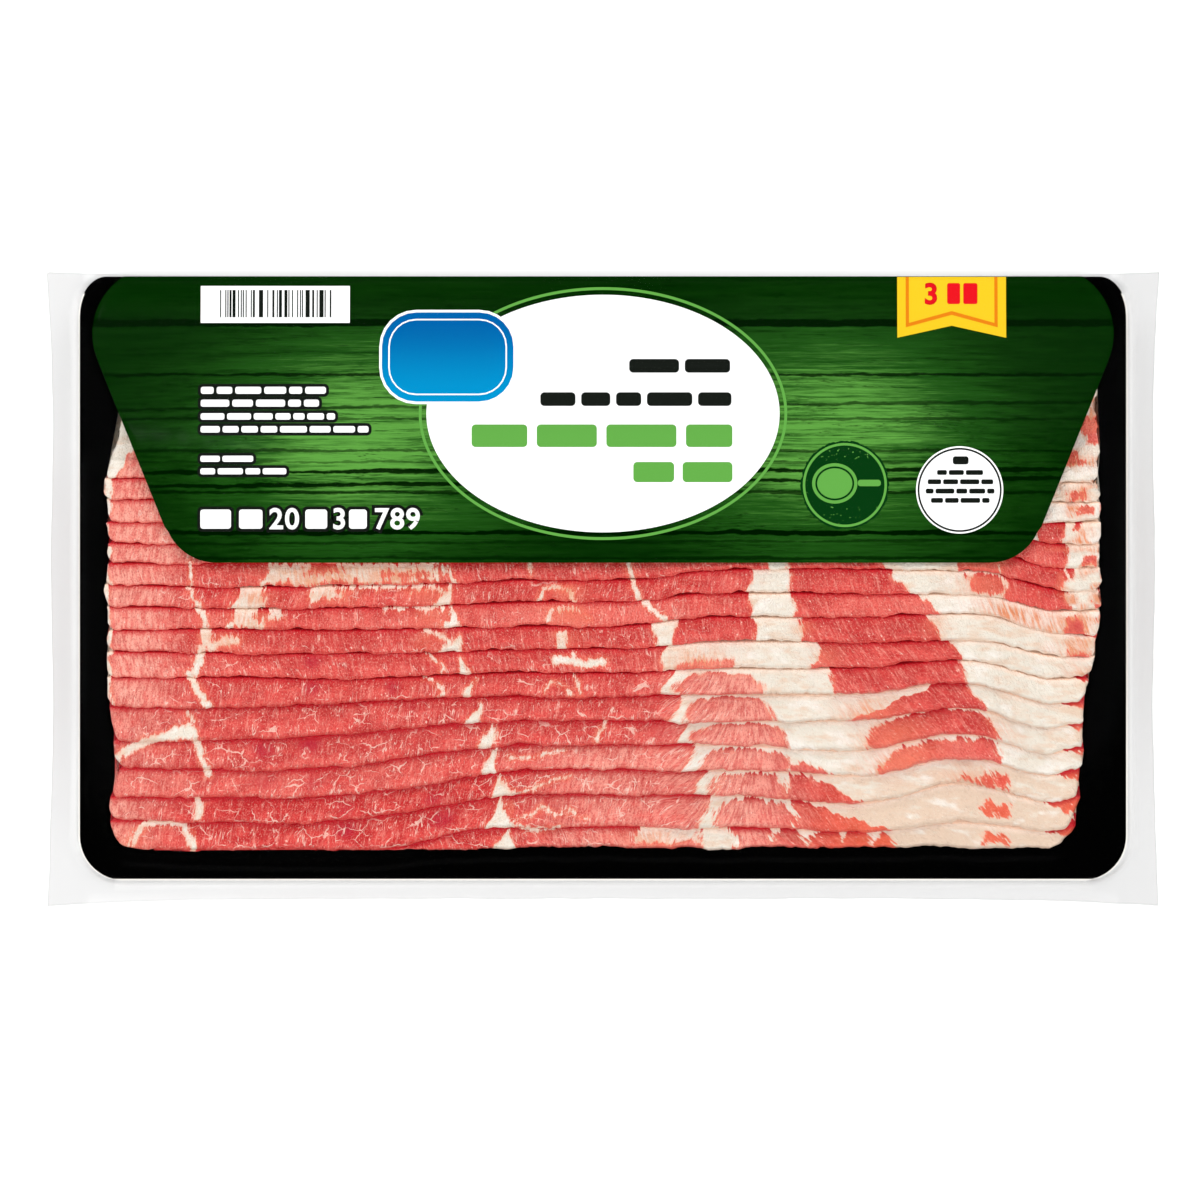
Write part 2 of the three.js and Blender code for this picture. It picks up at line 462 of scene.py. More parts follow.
@dataclass(frozen=True)
class FilmFinish:
    """Clear film with hazy sealed margins; the vertex value seal is 1 on the margins.

    Attributes:
        haze: Linear colour of the haze.
        margin_share: How much of the haze shows on the margins.
        gloss_share: How much of the film's gloss shows where it is seen edge on.
        clear_share: How much of the film's surface shows everywhere.
    """

    haze: Colour = srgb(186, 186, 186)
    margin_share: float = 0.17
    gloss_share: float = 0.1
    clear_share: float = 0.021

    def material(self) -> bpy.types.Material:
        """Returns the material."""
        material, w, shader = new_material("clear film")
        seal = w.add("ShaderNodeAttribute", attribute_name="seal").outputs["Fac"]
        w.feed(shader.inputs["Base Color"], w.mix(seal, (0.0, 0.0, 0.0), self.haze))
        shader.inputs["Roughness"].default_value = 0.2
        shader.inputs["Specular IOR Level"].default_value = 0.3
        clear = w.add("ShaderNodeBsdfTransparent")
        facing = w.add("ShaderNodeLayerWeight")
        facing.inputs["Blend"].default_value = 0.2
        rim = w.times(facing.outputs["Facing"], self.gloss_share)
        share = w.plus(w.times(seal, self.margin_share), w.plus(rim, self.clear_share))
        blend = w.add("ShaderNodeMixShader")
        for socket, value in zip(blend.inputs, (share, clear.outputs[0], shader.outputs[0])):
            w.feed(socket, value)
        w.feed(material.node_tree.nodes["Material Output"].inputs["Surface"], blend.outputs[0])
        return material


@dataclass(frozen=True)
class MeatFinish:
    """Raw cured meat: red fibrous lean, cream fat, painted shade in the deep grooves and white marbling.

    Vertex values: fat is the distance into the fat in mm, groove and lip the distances from the groove and
    from the lower edge in mm, which place the painted shade in the groove and the painted light on the lip.
    Strip runs from 0 at the lower edge to 1 at the groove and sets the painted light across each strip.
    Ragged sets how feathery the fat's outline is, and tone lightens or darkens. Blood, orange, marble, pale
    and tan are shares; orange also carries painted shade in the hollows between the fat lumps. The vector
    meat gives each slice its own grain.

    Attributes:
        deep: Linear colour of the darkest lean.
        middle: Linear colour of the common lean.
        light: Linear colour of its pale fibres.
        cream: Linear colour of the common fat.
        tan: Linear colour of its darker streaks.
        names: The vertex values that are single numbers.
    """

    deep: Colour = srgb(186, 26, 28)
    middle: Colour = srgb(214, 66, 60)
    light: Colour = srgb(242, 156, 140)
    cream: Colour = srgb(227, 218, 204)
    tan: Colour = srgb(221, 192, 168)
    names: tuple[str, ...] = ("fat", "groove", "lip", "strip", "ragged", "tone", "blood", "orange", "marble",
                              "pale", "tan")

    def material(self) -> bpy.types.Material:
        """Returns the material."""
        material, w, shader = new_material("meat")
        inputs = [("Meat", "Vector")] + [(name.title(), "Float") for name in self.names]
        outputs = [("Colour", "Color"), ("Roughness", "Float"), ("Height", "Float")]
        group = w.add("ShaderNodeGroup")
        group.node_tree = node_group("Cured meat", inputs, outputs, self._fill)
        w.feed(group.inputs["Meat"], w.add("ShaderNodeAttribute", attribute_name="meat").outputs["Vector"])
        for name in self.names:
            value = w.add("ShaderNodeAttribute", attribute_name=name).outputs["Fac"]
            w.feed(group.inputs[name.title()], value)
        bump = w.add("ShaderNodeBump")
        w.feed(bump.inputs["Height"], group.outputs["Height"])
        bump.inputs["Strength"].default_value = 0.9
        bump.inputs["Distance"].default_value = 0.0006
        w.feed(shader.inputs["Base Color"], group.outputs["Colour"])
        w.feed(shader.inputs["Roughness"], group.outputs["Roughness"])
        w.feed(shader.inputs["Normal"], bump.outputs[0])
        shader.inputs["Specular IOR Level"].default_value = 0.24
        return material

    def _fill(self, w: NodeWriter, given: dict) -> dict:
        """Adds the colours of lean and fat and the relief."""
        meat = given["Meat"]
        fibre = w.noise(w.scaled(meat, 1.25, 0.22), 2.0, 0.62)
        feather = w.noise(w.scaled(meat, 0.85, 0.26), 3.0, 0.62)
        grit = w.noise(w.scaled(meat, 2.9, 1.9), 1.0, 0.6)
        broad = w.noise(w.scaled(meat, 0.14, 0.22), 2.0, 0.6)
        # Depth into the fat, frayed at its outline.
        edge = w.swing(feather, w.times(given["Ragged"], 6.5))
        edge = w.plus(edge, w.swing(grit, 0.8))
        mottle = w.swing(fibre, w.times(given["Orange"], 7.0))
        depth = w.plus(w.plus(given["Fat"], edge), mottle)
        fatty = w.ramp(depth, -0.25, 0.25)
        tone = given["Tone"]
        # Lean: its common tone with painted light towards each strip's lower edge and painted shade towards
        # the groove, pale parts and fibres, light and dark grit.
        lean = w.mix(self._lean_tone_and_painted_light(w, broad, given), self.deep, self.middle)
        lean = w.mix(w.ramp(tone, 0.0, 1.0, 0.0, 0.4), lean, srgb(232, 128, 112))
        patchy = w.ramp(w.plus(feather, w.times(fibre, 0.5)), 0.6, 0.9, 0.35, 1.0)
        lean = w.mix(w.times(w.times(given["Pale"], 0.95), patchy), lean, srgb(240, 166, 148))
        lean = w.mix(w.ramp(fibre, 0.48, 0.78, 0.0, 0.6), lean, self.light)
        lean = w.mix(w.ramp(grit, 0.54, 0.74, 0.0, 0.62), lean, self.light)
        lean = w.mix(w.ramp(grit, 0.47, 0.3, 0.0, 0.5), lean, srgb(176, 20, 26))
        # Orange parts, which include painted shade in the hollows between the fat lumps, dried and stained
        # parts, and the rim beside fat.
        lean = w.mix(w.times(given["Orange"], 0.6), lean, srgb(230, 122, 92))
        stain = w.times(w.ramp(given["Blood"], 0.0, 0.75, 0.0, 0.9), w.ramp(feather, 0.3, 0.6, 0.6, 1.0))
        lean = w.mix(w.times(given["Tan"], 0.6), lean, srgb(238, 112, 76))
        lean = w.mix(stain, lean, srgb(178, 10, 42))
        lean = w.mix(w.ramp(depth, -1.2, -0.1, 0.0, 0.4), lean, srgb(230, 118, 88))
        # Fine light specks, real in the fibres and painted wet glints near the grooves, and marbling.
        grain = w.cells(w.scaled(meat, 0.9, 0.7))
        # Painted highlight: the specks near each groove stand for wet glints.
        speck_and_glint_share = w.math("MAXIMUM", w.ramp(fibre, 0.46, 0.62), w.ramp(given["Groove"], 2.2, 0.8, 0.0, 0.8))
        specks_and_glints = w.times(w.ramp(grain, 0.11, 0.2, 0.85, 0.0), speck_and_glint_share)
        lean = w.mix(specks_and_glints, lean, srgb(246, 200, 184))
        lean = w.mix(self._veins(w, meat, given), lean, srgb(240, 200, 184))
        # Fat: tan streaks, light parts, grit, the rim beside lean and orange parts, which include painted
        # shade in the hollows between the lumps.
        streak = w.noise(w.scaled(meat, 0.17, 0.42), 2.0, 0.6)
        streak = w.minus(streak, w.times(tone, 0.1))
        streak = w.plus(streak, w.times(given["Tan"], 0.3))
        fat = w.mix(w.ramp(streak, 0.46, 0.76, 0.0, 0.85), self.cream, self.tan)
        pale = w.ramp(w.minus(broad, w.times(tone, 0.15)), 0.5, 0.34, 0.0, 0.8)
        fat = w.mix(pale, fat, srgb(238, 231, 222))
        fat = w.mix(w.ramp(grit, 0.58, 0.76, 0.0, 0.4), fat, srgb(244, 236, 226))
        fat = w.mix(w.ramp(grit, 0.42, 0.26, 0.0, 0.25), fat, srgb(226, 176, 146))
        fat = w.mix(w.ramp(depth, 0.8, 0.1, 0.0, 0.5), fat, srgb(234, 172, 146))
        warm = w.times(given["Orange"], w.ramp(fibre, 0.4, 0.62, 0.35, 1.0))
        fat = w.mix(warm, fat, srgb(222, 138, 96))
        colour = w.mix(fatty, lean, fat)
        # Painted shade in the groove under the next slice, darkest in its middle: deep red in the lean, while
        # in the fat a lighter colour offsets the real shadow. Painted colour for the light and shade on the
        # rounded lower lip.
        line = w.plus(given["Groove"], w.swing(grit, 0.8))
        shade = w.mix(fatty, srgb(200, 16, 34), srgb(255, 230, 212))
        colour = w.mix(w.ramp(line, 0.15, 1.8, 0.75, 0.0), colour, shade)
        groove_shade_core = w.mix(fatty, srgb(204, 6, 30), srgb(255, 212, 184))
        colour = w.mix(w.ramp(line, 0.1, 0.45, 0.85, 0.0), colour, groove_shade_core)
        # Painted light and shade on the lower lip: a lighter red in the lean and a warmer tint in the fat.
        lip = w.mix(fatty, srgb(226, 84, 78), srgb(238, 204, 180))
        colour = w.mix(w.ramp(given["Lip"], 0.1, 0.5, 0.5, 0.0), colour, lip)
        wet = w.ramp(broad, 0.35, 0.7, 0.24, 0.42)
        height = w.plus(w.times(grit, 0.8), w.times(fibre, 0.7))
        return {"Colour": colour, "Roughness": wet, "Height": height}

    @staticmethod
    def _lean_tone_and_painted_light(w: NodeWriter, broad: object, given: dict) -> object:
        """Returns how light the lean is: random broad tone, with painted light towards each strip's lower
        edge and painted shade towards the groove under the next slice.
        """
        # Painted light and shade: lighter at the strip's lower edge, darker under the next slice.
        rise = w.times(w.minus(0.5, given["Strip"]), 0.22)
        rise = w.plus(rise, w.times(given["Tone"], 0.12))
        return w.ramp(w.plus(broad, rise), 0.34, 0.66)

    @staticmethod
    def _veins(w: NodeWriter, meat: object, given: dict) -> object:
        """Returns how far thin white marbling covers the lean: a broken net and upright strands.

        Args:
            w: Writer of the group.
            meat: Coordinates of the slice's own grain.
            given: The group's inputs.

        Returns:
            The share of marbling.
        """
        warp = w.noise(w.scaled(meat, 0.4, 0.4), 2.0, 0.5, colour=True)
        bent = w.shifted(w.scaled(meat, 0.19, 0.27, 0.17), w.scaled(warp, 0.62, 0.62, 0.0))
        net = w.cells(bent, "DISTANCE_TO_EDGE")
        gate = w.noise(w.shifted(w.scaled(meat, 0.16, 0.24), (31.0, 7.0, 0.0)), 2.0)
        gate = w.plus(gate, w.times(w.minus(given["Marble"], 1.0), 0.16))
        width = w.ramp(gate, 0.42, 0.76, 0.0, 0.03)
        vein = w.ramp(net, width, w.plus(width, 0.014), 0.72, 0.0)
        vein = w.times(vein, w.ramp(width, 0.001, 0.01))
        strand = w.noise(w.shifted(w.scaled(meat, 0.6, 0.1), (3.0, 51.0, 0.0)), 2.0)
        strand = w.ramp(w.absolute(w.minus(strand, 0.5)), 0.003, 0.014, 0.8, 0.0)
        strand = w.times(strand, w.ramp(w.noise(w.scaled(meat, 0.25, 0.3)), 0.48, 0.58))
        return w.times(w.math("MAXIMUM", vein, strand), w.ramp(given["Marble"], 0.0, 0.4))


def shell_mesh(name: str, points: Array, ring: bool, attributes: Optional[dict] = None,
               caps: bool = False) -> bpy.types.Mesh:
    """Turns a grid of points into a mesh.

    Args:
        name: Name of the mesh.
        points: Rows by columns by three, in mm. For a ring the last row equals the first.
        ring: Whether coinciding points are joined, which closes the ring.
        attributes: Vertex values by name, rows by columns, or rows by columns by three.
        caps: Whether the open ends are closed with a face.

    Returns:
        The mesh, in metres.
    """
    rows, columns = points.shape[:2]
    bm = bmesh.new()
    bmesh.ops.create_grid(bm, x_segments=columns - 1, y_segments=rows - 1, size=1)
    mesh = bpy.data.meshes.new(name)
    bm.to_mesh(mesh)
    bm.free()
    place = np.empty(rows * columns * 3, np.float32)
    mesh.vertices.foreach_get("co", place)
    place = place.reshape(-1, 3)
    j = np.rint((place[:, 0] + 1) / 2 * (columns - 1)).astype(int)
    i = np.rint((place[:, 1] + 1) / 2 * (rows - 1)).astype(int)
    mesh.vertices.foreach_set("co", (points[i, j] * MM).astype(np.float32).ravel())
    for label, values in (attributes or {}).items():
        vector = values.ndim == 3
        layer = mesh.attributes.new(label, "FLOAT_VECTOR" if vector else "FLOAT", "POINT")
        layer.data.foreach_set("vector" if vector else "value", values[i, j].astype(np.float32).ravel())
    if ring or caps:
        bm = bmesh.new()
        bm.from_mesh(mesh)
        bmesh.ops.remove_doubles(bm, verts=bm.verts, dist=1e-6)
        if caps:
            bmesh.ops.holes_fill(bm, edges=[e for e in bm.edges if e.is_boundary], sides=0)
        bmesh.ops.recalc_face_normals(bm, faces=bm.faces)
        bm.to_mesh(mesh)
        bm.free()
    mesh.update()
    return mesh


def place_piece(name: str, mesh: bpy.types.Mesh, materials: Sequence[bpy.types.Material],
                nodes: Sequence[str] = (), smooth: bool = True) -> bpy.types.Object:
    """Puts a piece into the scene and ties it to the frame.

    Args:
        name: Name of the piece.
        mesh: Its mesh.
        materials: Its finishes in slot order.
        nodes: CAD nodes that the piece stands for; none if it only rides on the pack.
        smooth: Whether faces are shaded smooth.

    Returns:
        The piece.
    """
    for material in materials:
        mesh.materials.append(material)
    if smooth:
        mesh.polygons.foreach_set("use_smooth", np.ones(len(mesh.polygons), bool))
    piece = bpy.data.objects.new(name, mesh)
    bpy.context.scene.collection.objects.link(piece)
    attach(piece, "root")
    if nodes:
        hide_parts(*nodes)
    LOG.info("%s: %d faces", name, len(mesh.polygons))
    return piece


@dataclass(frozen=True)
class StackShape:
    """Where the slices of the stack lie.

    Attributes:
        count: Number of slices.
        thickness: Room one slice takes in the stack.
        first: Levels in Y of the first three lower edges.
        pitch: Widest step between lower edges.
        loss: How much the step shrinks from slice to slice.
        floor: Height the stack starts at.
        reach: How many steps a slice runs under those above it.
    """

    count: int = 17
    thickness: float = 2.85
    first: tuple[float, float, float] = (-64.4, -59.5, -51.2)
    pitch: float = 6.4
    loss: float = 0.05
    floor: float = 2.0
    reach: float = 7.0

    def level(self, row: int) -> float:
        """Returns the plain level of a lower edge in Y."""
        n = row - 2
        return self.first[row] if row < 2 else self.first[2] + n * (self.pitch - self.loss * n)

    def edge(self, row: int, x: Array) -> Array:
        """Returns where the lower edge of a slice lies in Y.

        Args:
            row: Number of the slice from the foot.
            x: Places along the slices.

        Returns:
            The levels in Y.
        """
        # Upper slices lift at the right, lower ones arch over their lean and sag at the left end.
        upper = float(smooth_step(5, 9, row))
        sag = 1.5 + 5.1 * (1 - float(smooth_step(3.5, 7, row)))
        arch = 2.9 * (1 - upper) * bell(87, 13, x)
        arch = arch - 1.7 * (1 - float(smooth_step(3, 5.5, row))) * bell(62, 17, x)
        lift = 2.2 * upper * smooth_step(4, 28, x) * (1 - smooth_step(92, 113, x))
        lift = lift - 2.3 * smooth_step(93, 114, x)
        tip = 2.0 * min(row, 1) * (1 - float(smooth_step(3, 9, row))) * smooth_step(109, 119, x)
        waves = [(w, 190 / (w + 0.6 * draw(row, w)), 3 * draw(row, w + 7)) for w in (1, 2, 3)]
        wander = sum(0.32 / w * np.sin(2 * math.pi * x / length + phase) for w, length, phase in waves)
        fall = sag * smooth_step(-12, -80, x) if row > 1 else 5.2 * row * smooth_step(-30, -56, x)
        return self.level(row) - fall + min(1, row / 2) * (arch + lift) + tip + wander

    def ends(self, row: int) -> tuple[float, float]:
        """Returns the left and right end of a slice in X."""
        left = -122.9 + 2.8 * bell(4.5, 1.1, row) + 5 * smooth_step(16, 20, row) + 0.5 * draw(row, 21)
        right = 117.6 + 5.9 * smooth_step(0, 12, row) - 1.5 * smooth_step(12, 18, row)
        right = right - 1.4 * bell(6.2, 1.4, row) - (4.48 if row == 0 else 0) + 0.4 * draw(row, 22)
        return float(left), float(right)

    @staticmethod
    def thinning(x: Array) -> Array:
        """Returns how much thinner the stack is towards its ends."""
        return 1 - 0.26 * smooth_step(78, 128, np.abs(x))

    def share(self, s: Array) -> Array:
        """Returns the share of a slice's thickness at s steps above its own lower edge."""
        s = np.asarray(s, float)
        tail = np.interp(s, [5.0, 6.0, 7.0, 7.05], [1.0, 0.6, 0.3, 0.0])
        return np.where(s < 0, 0.0, self.rounding(s) * tail)

    @staticmethod
    def rounding(s: Array) -> Array:
        """Returns the rounded rise of a slice's lower edge."""
        t = np.clip(np.asarray(s, float) / 0.15, 0, 1)
        return 0.2 + 0.8 * (1 - (1 - t) ** 2) ** 0.7

    def below(self, slice_index: int, s: Array) -> Array:
        """Returns how many thicknesses lie under a slice, s steps above its lower edge."""
        total = np.zeros(np.shape(s))
        for other in range(slice_index):
            total = total + self.share(np.asarray(s, float) + slice_index - other)
        return total


@dataclass(frozen=True)
class Patch:
    """A patch of fat or lean on the strip that shows of one slice.

    Attributes:
        row: Number of the slice.
        kind: Form of the patch.
        left: Left side at the lower edge, or the middle of a triangle.
        right: Right side at the lower edge, or half the width of a triangle.
        lean_left: How far the left side moves over the strip's height.
        lean_right: The same for the right side.
        low: Share of the height where the patch starts.
        high: Share of the height where it ends.
    """

    row: int
    kind: Kind
    left: float
    right: float
    lean_left: float = 0.0
    lean_right: float = 0.0
    low: float = 0.0
    high: float = 1.0

    def depth(self, x: Array, s: Array, height: Array) -> Array:
        """Returns the distance into the patch in mm, negative outside.

        Args:
            x: Places along the slice.
            s: Places over the strip's height, 0 at the lower edge.
            height: Height of the strip in mm.

        Returns:
            The distances.
        """
        if self.kind in (Kind.PEAK, Kind.SPIKE):
            rise = (s - self.low) / (self.high - self.low)
            rise = 1 - rise if self.kind is Kind.PEAK else rise
            side = self.right * rise - np.abs(x - self.left - 0.8 * (s - 0.5))
            return np.minimum(side, (s - self.low + 0.05) * height + 9 * (self.kind is Kind.PEAK))
        left, right = self.left + self.lean_left * s, self.right + self.lean_right * s
        if self.kind is Kind.DOME:
            middle, half = (left + right) / 2, (right - left) / 2
            t = np.abs(x - middle) / half
            return (1 - t ** 2.6 - np.clip(s / self.high, 0, None) ** 3.2) * 0.5 * self.high * height
        under = (s - self.low) * height if self.low > 0 else 9.0
        over = (self.high - s) * height if not 1 <= self.high <= 1.2 else 9.0
        return np.minimum(np.minimum(x - left, right - x), np.minimum(under, over))


@dataclass(frozen=True)
class Spot:
    """A round blot of a vertex value on the strip that shows of one slice.

    Attributes:
        row: Number of the slice.
        x: Middle in X.
        s: Middle as a share of the strip's height.
        reach: How far it spreads, in mm.
        strength: Value in its middle.
    """

    row: int
    x: float
    s: float
    reach: float
    strength: float


@dataclass(frozen=True)
class Stroke:
    """A thin seam of fat drawn across one or more slices.

    Attributes:
        rows: Slices it shows on.
        half: Half its width.
        points: Its course in X and Y.
    """

    rows: tuple[int, ...]
    half: float
    points: tuple[tuple[float, float], ...]

    def depth(self, x: Array, y: Array) -> Array:
        """Returns the distance into the seam in mm, negative outside."""
        near = np.full(x.shape, 99.0)
        for (ax, ay), (bx, by) in zip(self.points, self.points[1:]):
            length = max((bx - ax) ** 2 + (by - ay) ** 2, 1e-6)
            t = np.clip(((x - ax) * (bx - ax) + (y - ay) * (by - ay)) / length, 0, 1)
            near = np.minimum(near, np.hypot(x - ax - t * (bx - ax), y - ay - t * (by - ay)))
        return self.half - near


# Slice, lower tip in X and share of the height of the lean wedges at the right end.
WEDGES = ((0, 110.2, .66), (1, 110, .55), (2, 112.5, .53), (3, 114, .72), (4, 114.6, .78), (5, 114.8, .58),
          (6, 117, .82), (8, 119, .66))
# Slice, right end of the thin fat at the left end.
RIMS = ((6, -121.4), (7, -121.7), (8, -121.9), (9, -122.2), (10, -122.2), (11, -122.2), (12, -122.2),
        (13, -122.2), (14, -122.2), (15, -121.9))
# Slice, middle, half the width and top of the white triangles that stand in a row up the lean.
PEAKS = ((0, -23.6, 3.5, 1), (1, -24.8, 3.2, 1), (2, -25.1, 2.5, 1), (3, -27.1, 2.2, 1),
         (4, -28.3, 1.5, 1), (5, -31, 2, 0.8), (6, -32.3, 1, 1), (7, -34.5, 1.7, 0.7), (8, -36.7, 2, 0.8),
         (9, -37.7, 1.5, 1), (10, -38.7, 1.7, 1))
# Every patch from the foot of the stack up; a later one lies over an earlier one.
PATCHES = (
    *(Patch(row, Kind.FAT, -123.9, right) for row, right in RIMS),
    Patch(0, Kind.FAT, 7.4, 24.1, 1.5, 0, 0.3), Patch(0, Kind.FAT, 24.1, 32.3, 1, -1),
    Patch(0, Kind.SPIKE, 42, 1.7, 0, 0, 0.25), Patch(0, Kind.SPIKE, 50.4, 2, 0, 0, 0.35),
    Patch(0, Kind.SPIKE, 58.8, 1.7, 0, 0, 0.3), Patch(0, Kind.SPIKE, 66.8, 2, 0, 0, 0.2),
    Patch(0, Kind.FAT, 74.2, 126, -5.5), Patch(0, Kind.LEAN, 93.6, 100.1, 1, -1, 0.1, 0.6),
    Patch(1, Kind.FAT, 23.1, 120.9, 3), Patch(1, Kind.DOME, 26.8, 48.9, 0, 0, 0, 0.95),
    Patch(1, Kind.LEAN, 48.7, 71.3, 0, -20.9, 0, 1.1), Patch(1, Kind.LEAN, 93.6, 100.6, 1.5, 0, 0.3, 0.64),
    Patch(2, Kind.FAT, 21.6, 120.9, 3), Patch(2, Kind.DOME, 25.3, 46.7, 0, 0, 0, 0.92),
    Patch(2, Kind.LEAN, 46.9, 65.3, 0, -14.9, 0, 0.95), Patch(2, Kind.LEAN, 88.1, 100.6, 2, 0, 0.05, 0.2),
    Patch(2, Kind.LEAN, 94.4, 100.6, 1, -0.5, 0.1, 0.58),
    Patch(3, Kind.FAT, 20.1, 120.9, 3), Patch(3, Kind.DOME, 23.8, 45.9, 0, 0, 0, 0.92),
    Patch(3, Kind.LEAN, 45.9, 57.9, 2, -7.4, 0, 0.34), Patch(3, Kind.LEAN, 69.3, 99.3, 3.5, -1.5, 0, 0.85),
    Patch(4, Kind.FAT, 18.4, 120.9, 3.5), Patch(4, Kind.DOME, 22.1, 44.9, 0, 0, 0, 0.93),
    Patch(4, Kind.DOME, 65.8, 98.3, 0, 0, 0, 1.02),
    Patch(5, Kind.FAT, 16.4, 120.9, 3.2), Patch(5, Kind.DOME, 19.6, 41.7, 0, 0, 0, 0.94),
    Patch(5, Kind.LEAN, 58.8, 94.6, 23.8, -4.5, 0, 1.1),
    Patch(6, Kind.FAT, 15.1, 121.4, 2.7), Patch(6, Kind.DOME, 18.9, 39.5, 0, 0, 0, 0.88),
    Patch(6, Kind.LEAN, 57.6, 90.6, -1, -3, 0, 1.1),
    Patch(7, Kind.FAT, 14.2, 122.2, 3), Patch(7, Kind.LEAN, 18.1, 32.8, 3, -2, 0, 0.24),
    Patch(7, Kind.LEAN, 51.9, 89.1, 1.5, -3.5, 0, 1.1),
    Patch(8, Kind.FAT, 13.2, 18.4, 0, 1), Patch(8, Kind.DOME, 17.6, 38.2, 0, 0, 0, 1.15),
    Patch(8, Kind.FAT, 37, 49.2), Patch(8, Kind.FAT, 85.2, 122.4, -5.5),
    Patch(8, Kind.LEAN, 115.5, 120.4, 1, 0, 0, 0.22),
    Patch(9, Kind.FAT, -92.1, -84.2, 0.5, -1, 0.05), Patch(9, Kind.FAT, -83.7, -79, 0, 0, 0.5),
    Patch(9, Kind.FAT, 36.3, 47.2), Patch(9, Kind.FAT, 82.7, 123.4, -5.5),
    Patch(9, Kind.LEAN, 114.8, 119.2, 0, -1, 0, 0.68),
    Patch(10, Kind.FAT, -91.6, -83.7, 0, -1), Patch(10, Kind.FAT, -74, -64.3, 1, -1, 0.45),
    Patch(10, Kind.FAT, 36.3, 46.2), Patch(10, Kind.FAT, 75.7, 99.1, -4),
    Patch(10, Kind.LEAN, 90.1, 98.6, 0, 0, 0.1, 0.9), Patch(10, Kind.FAT, 116.2, 123.4),
    Patch(10, Kind.LEAN, 122, 126, -1, 0, 0, 0.3),
    Patch(11, Kind.FAT, -84.7, -41, 1.5, -0.7, 0.12, 0.95),
    Patch(11, Kind.LEAN, -73.2, -64.3, 1, -1, 0.5, 1.1),
    Patch(11, Kind.LEAN, -55.4, -42.5, 1, -1, 0.3, 0.55), Patch(11, Kind.FAT, 40.7, 45.4),
    Patch(11, Kind.FAT, 70, 98.6, -2.2), Patch(11, Kind.LEAN, 88.1, 98.1), Patch(11, Kind.FAT, 115, 124.4),
    Patch(11, Kind.LEAN, 115.5, 117.8, 0, 0, 0.6, 1.1),
    Patch(12, Kind.FAT, 67.5, 101.1), Patch(12, Kind.FAT, 115, 124.4),
    Patch(12, Kind.LEAN, 119.4, 122.4, 0, 0, 0.1, 0.5),
    Patch(13, Kind.FAT, 88.6, 107), Patch(13, Kind.FAT, 115, 124.4, -1),
    Patch(13, Kind.LEAN, 116.9, 119.4, 0, 0, 0.6),
    Patch(14, Kind.FAT, 88.6, 124.4), Patch(14, Kind.LEAN, 117.4, 121.9, 0.5, 0, 0.3, 0.75),
    Patch(15, Kind.FAT, 88.6, 124.4), Patch(15, Kind.LEAN, 115, 119.9, 1, -1, 0.1, 0.5),
    Patch(16, Kind.FAT, -127.4, -120.5, 1.2, 3.2, 0, 8), Patch(16, Kind.FAT, 88.6, 124.4, 0, 0, 0, 8),
    Patch(16, Kind.LEAN, 116, 120.9, -1.5, -2.5, 0.9, 1.7),
    Patch(16, Kind.LEAN, 119.9, 124.4, -0.5, 0, 2, 3.4),
    *(Patch(row, Kind.PEAK, middle, half, high=high) for row, middle, half, high in PEAKS),
    *(Patch(row, Kind.LEAN, tip + 11, 130, -11, 0, low, 1.35) for row, tip, low in WEDGES),
)
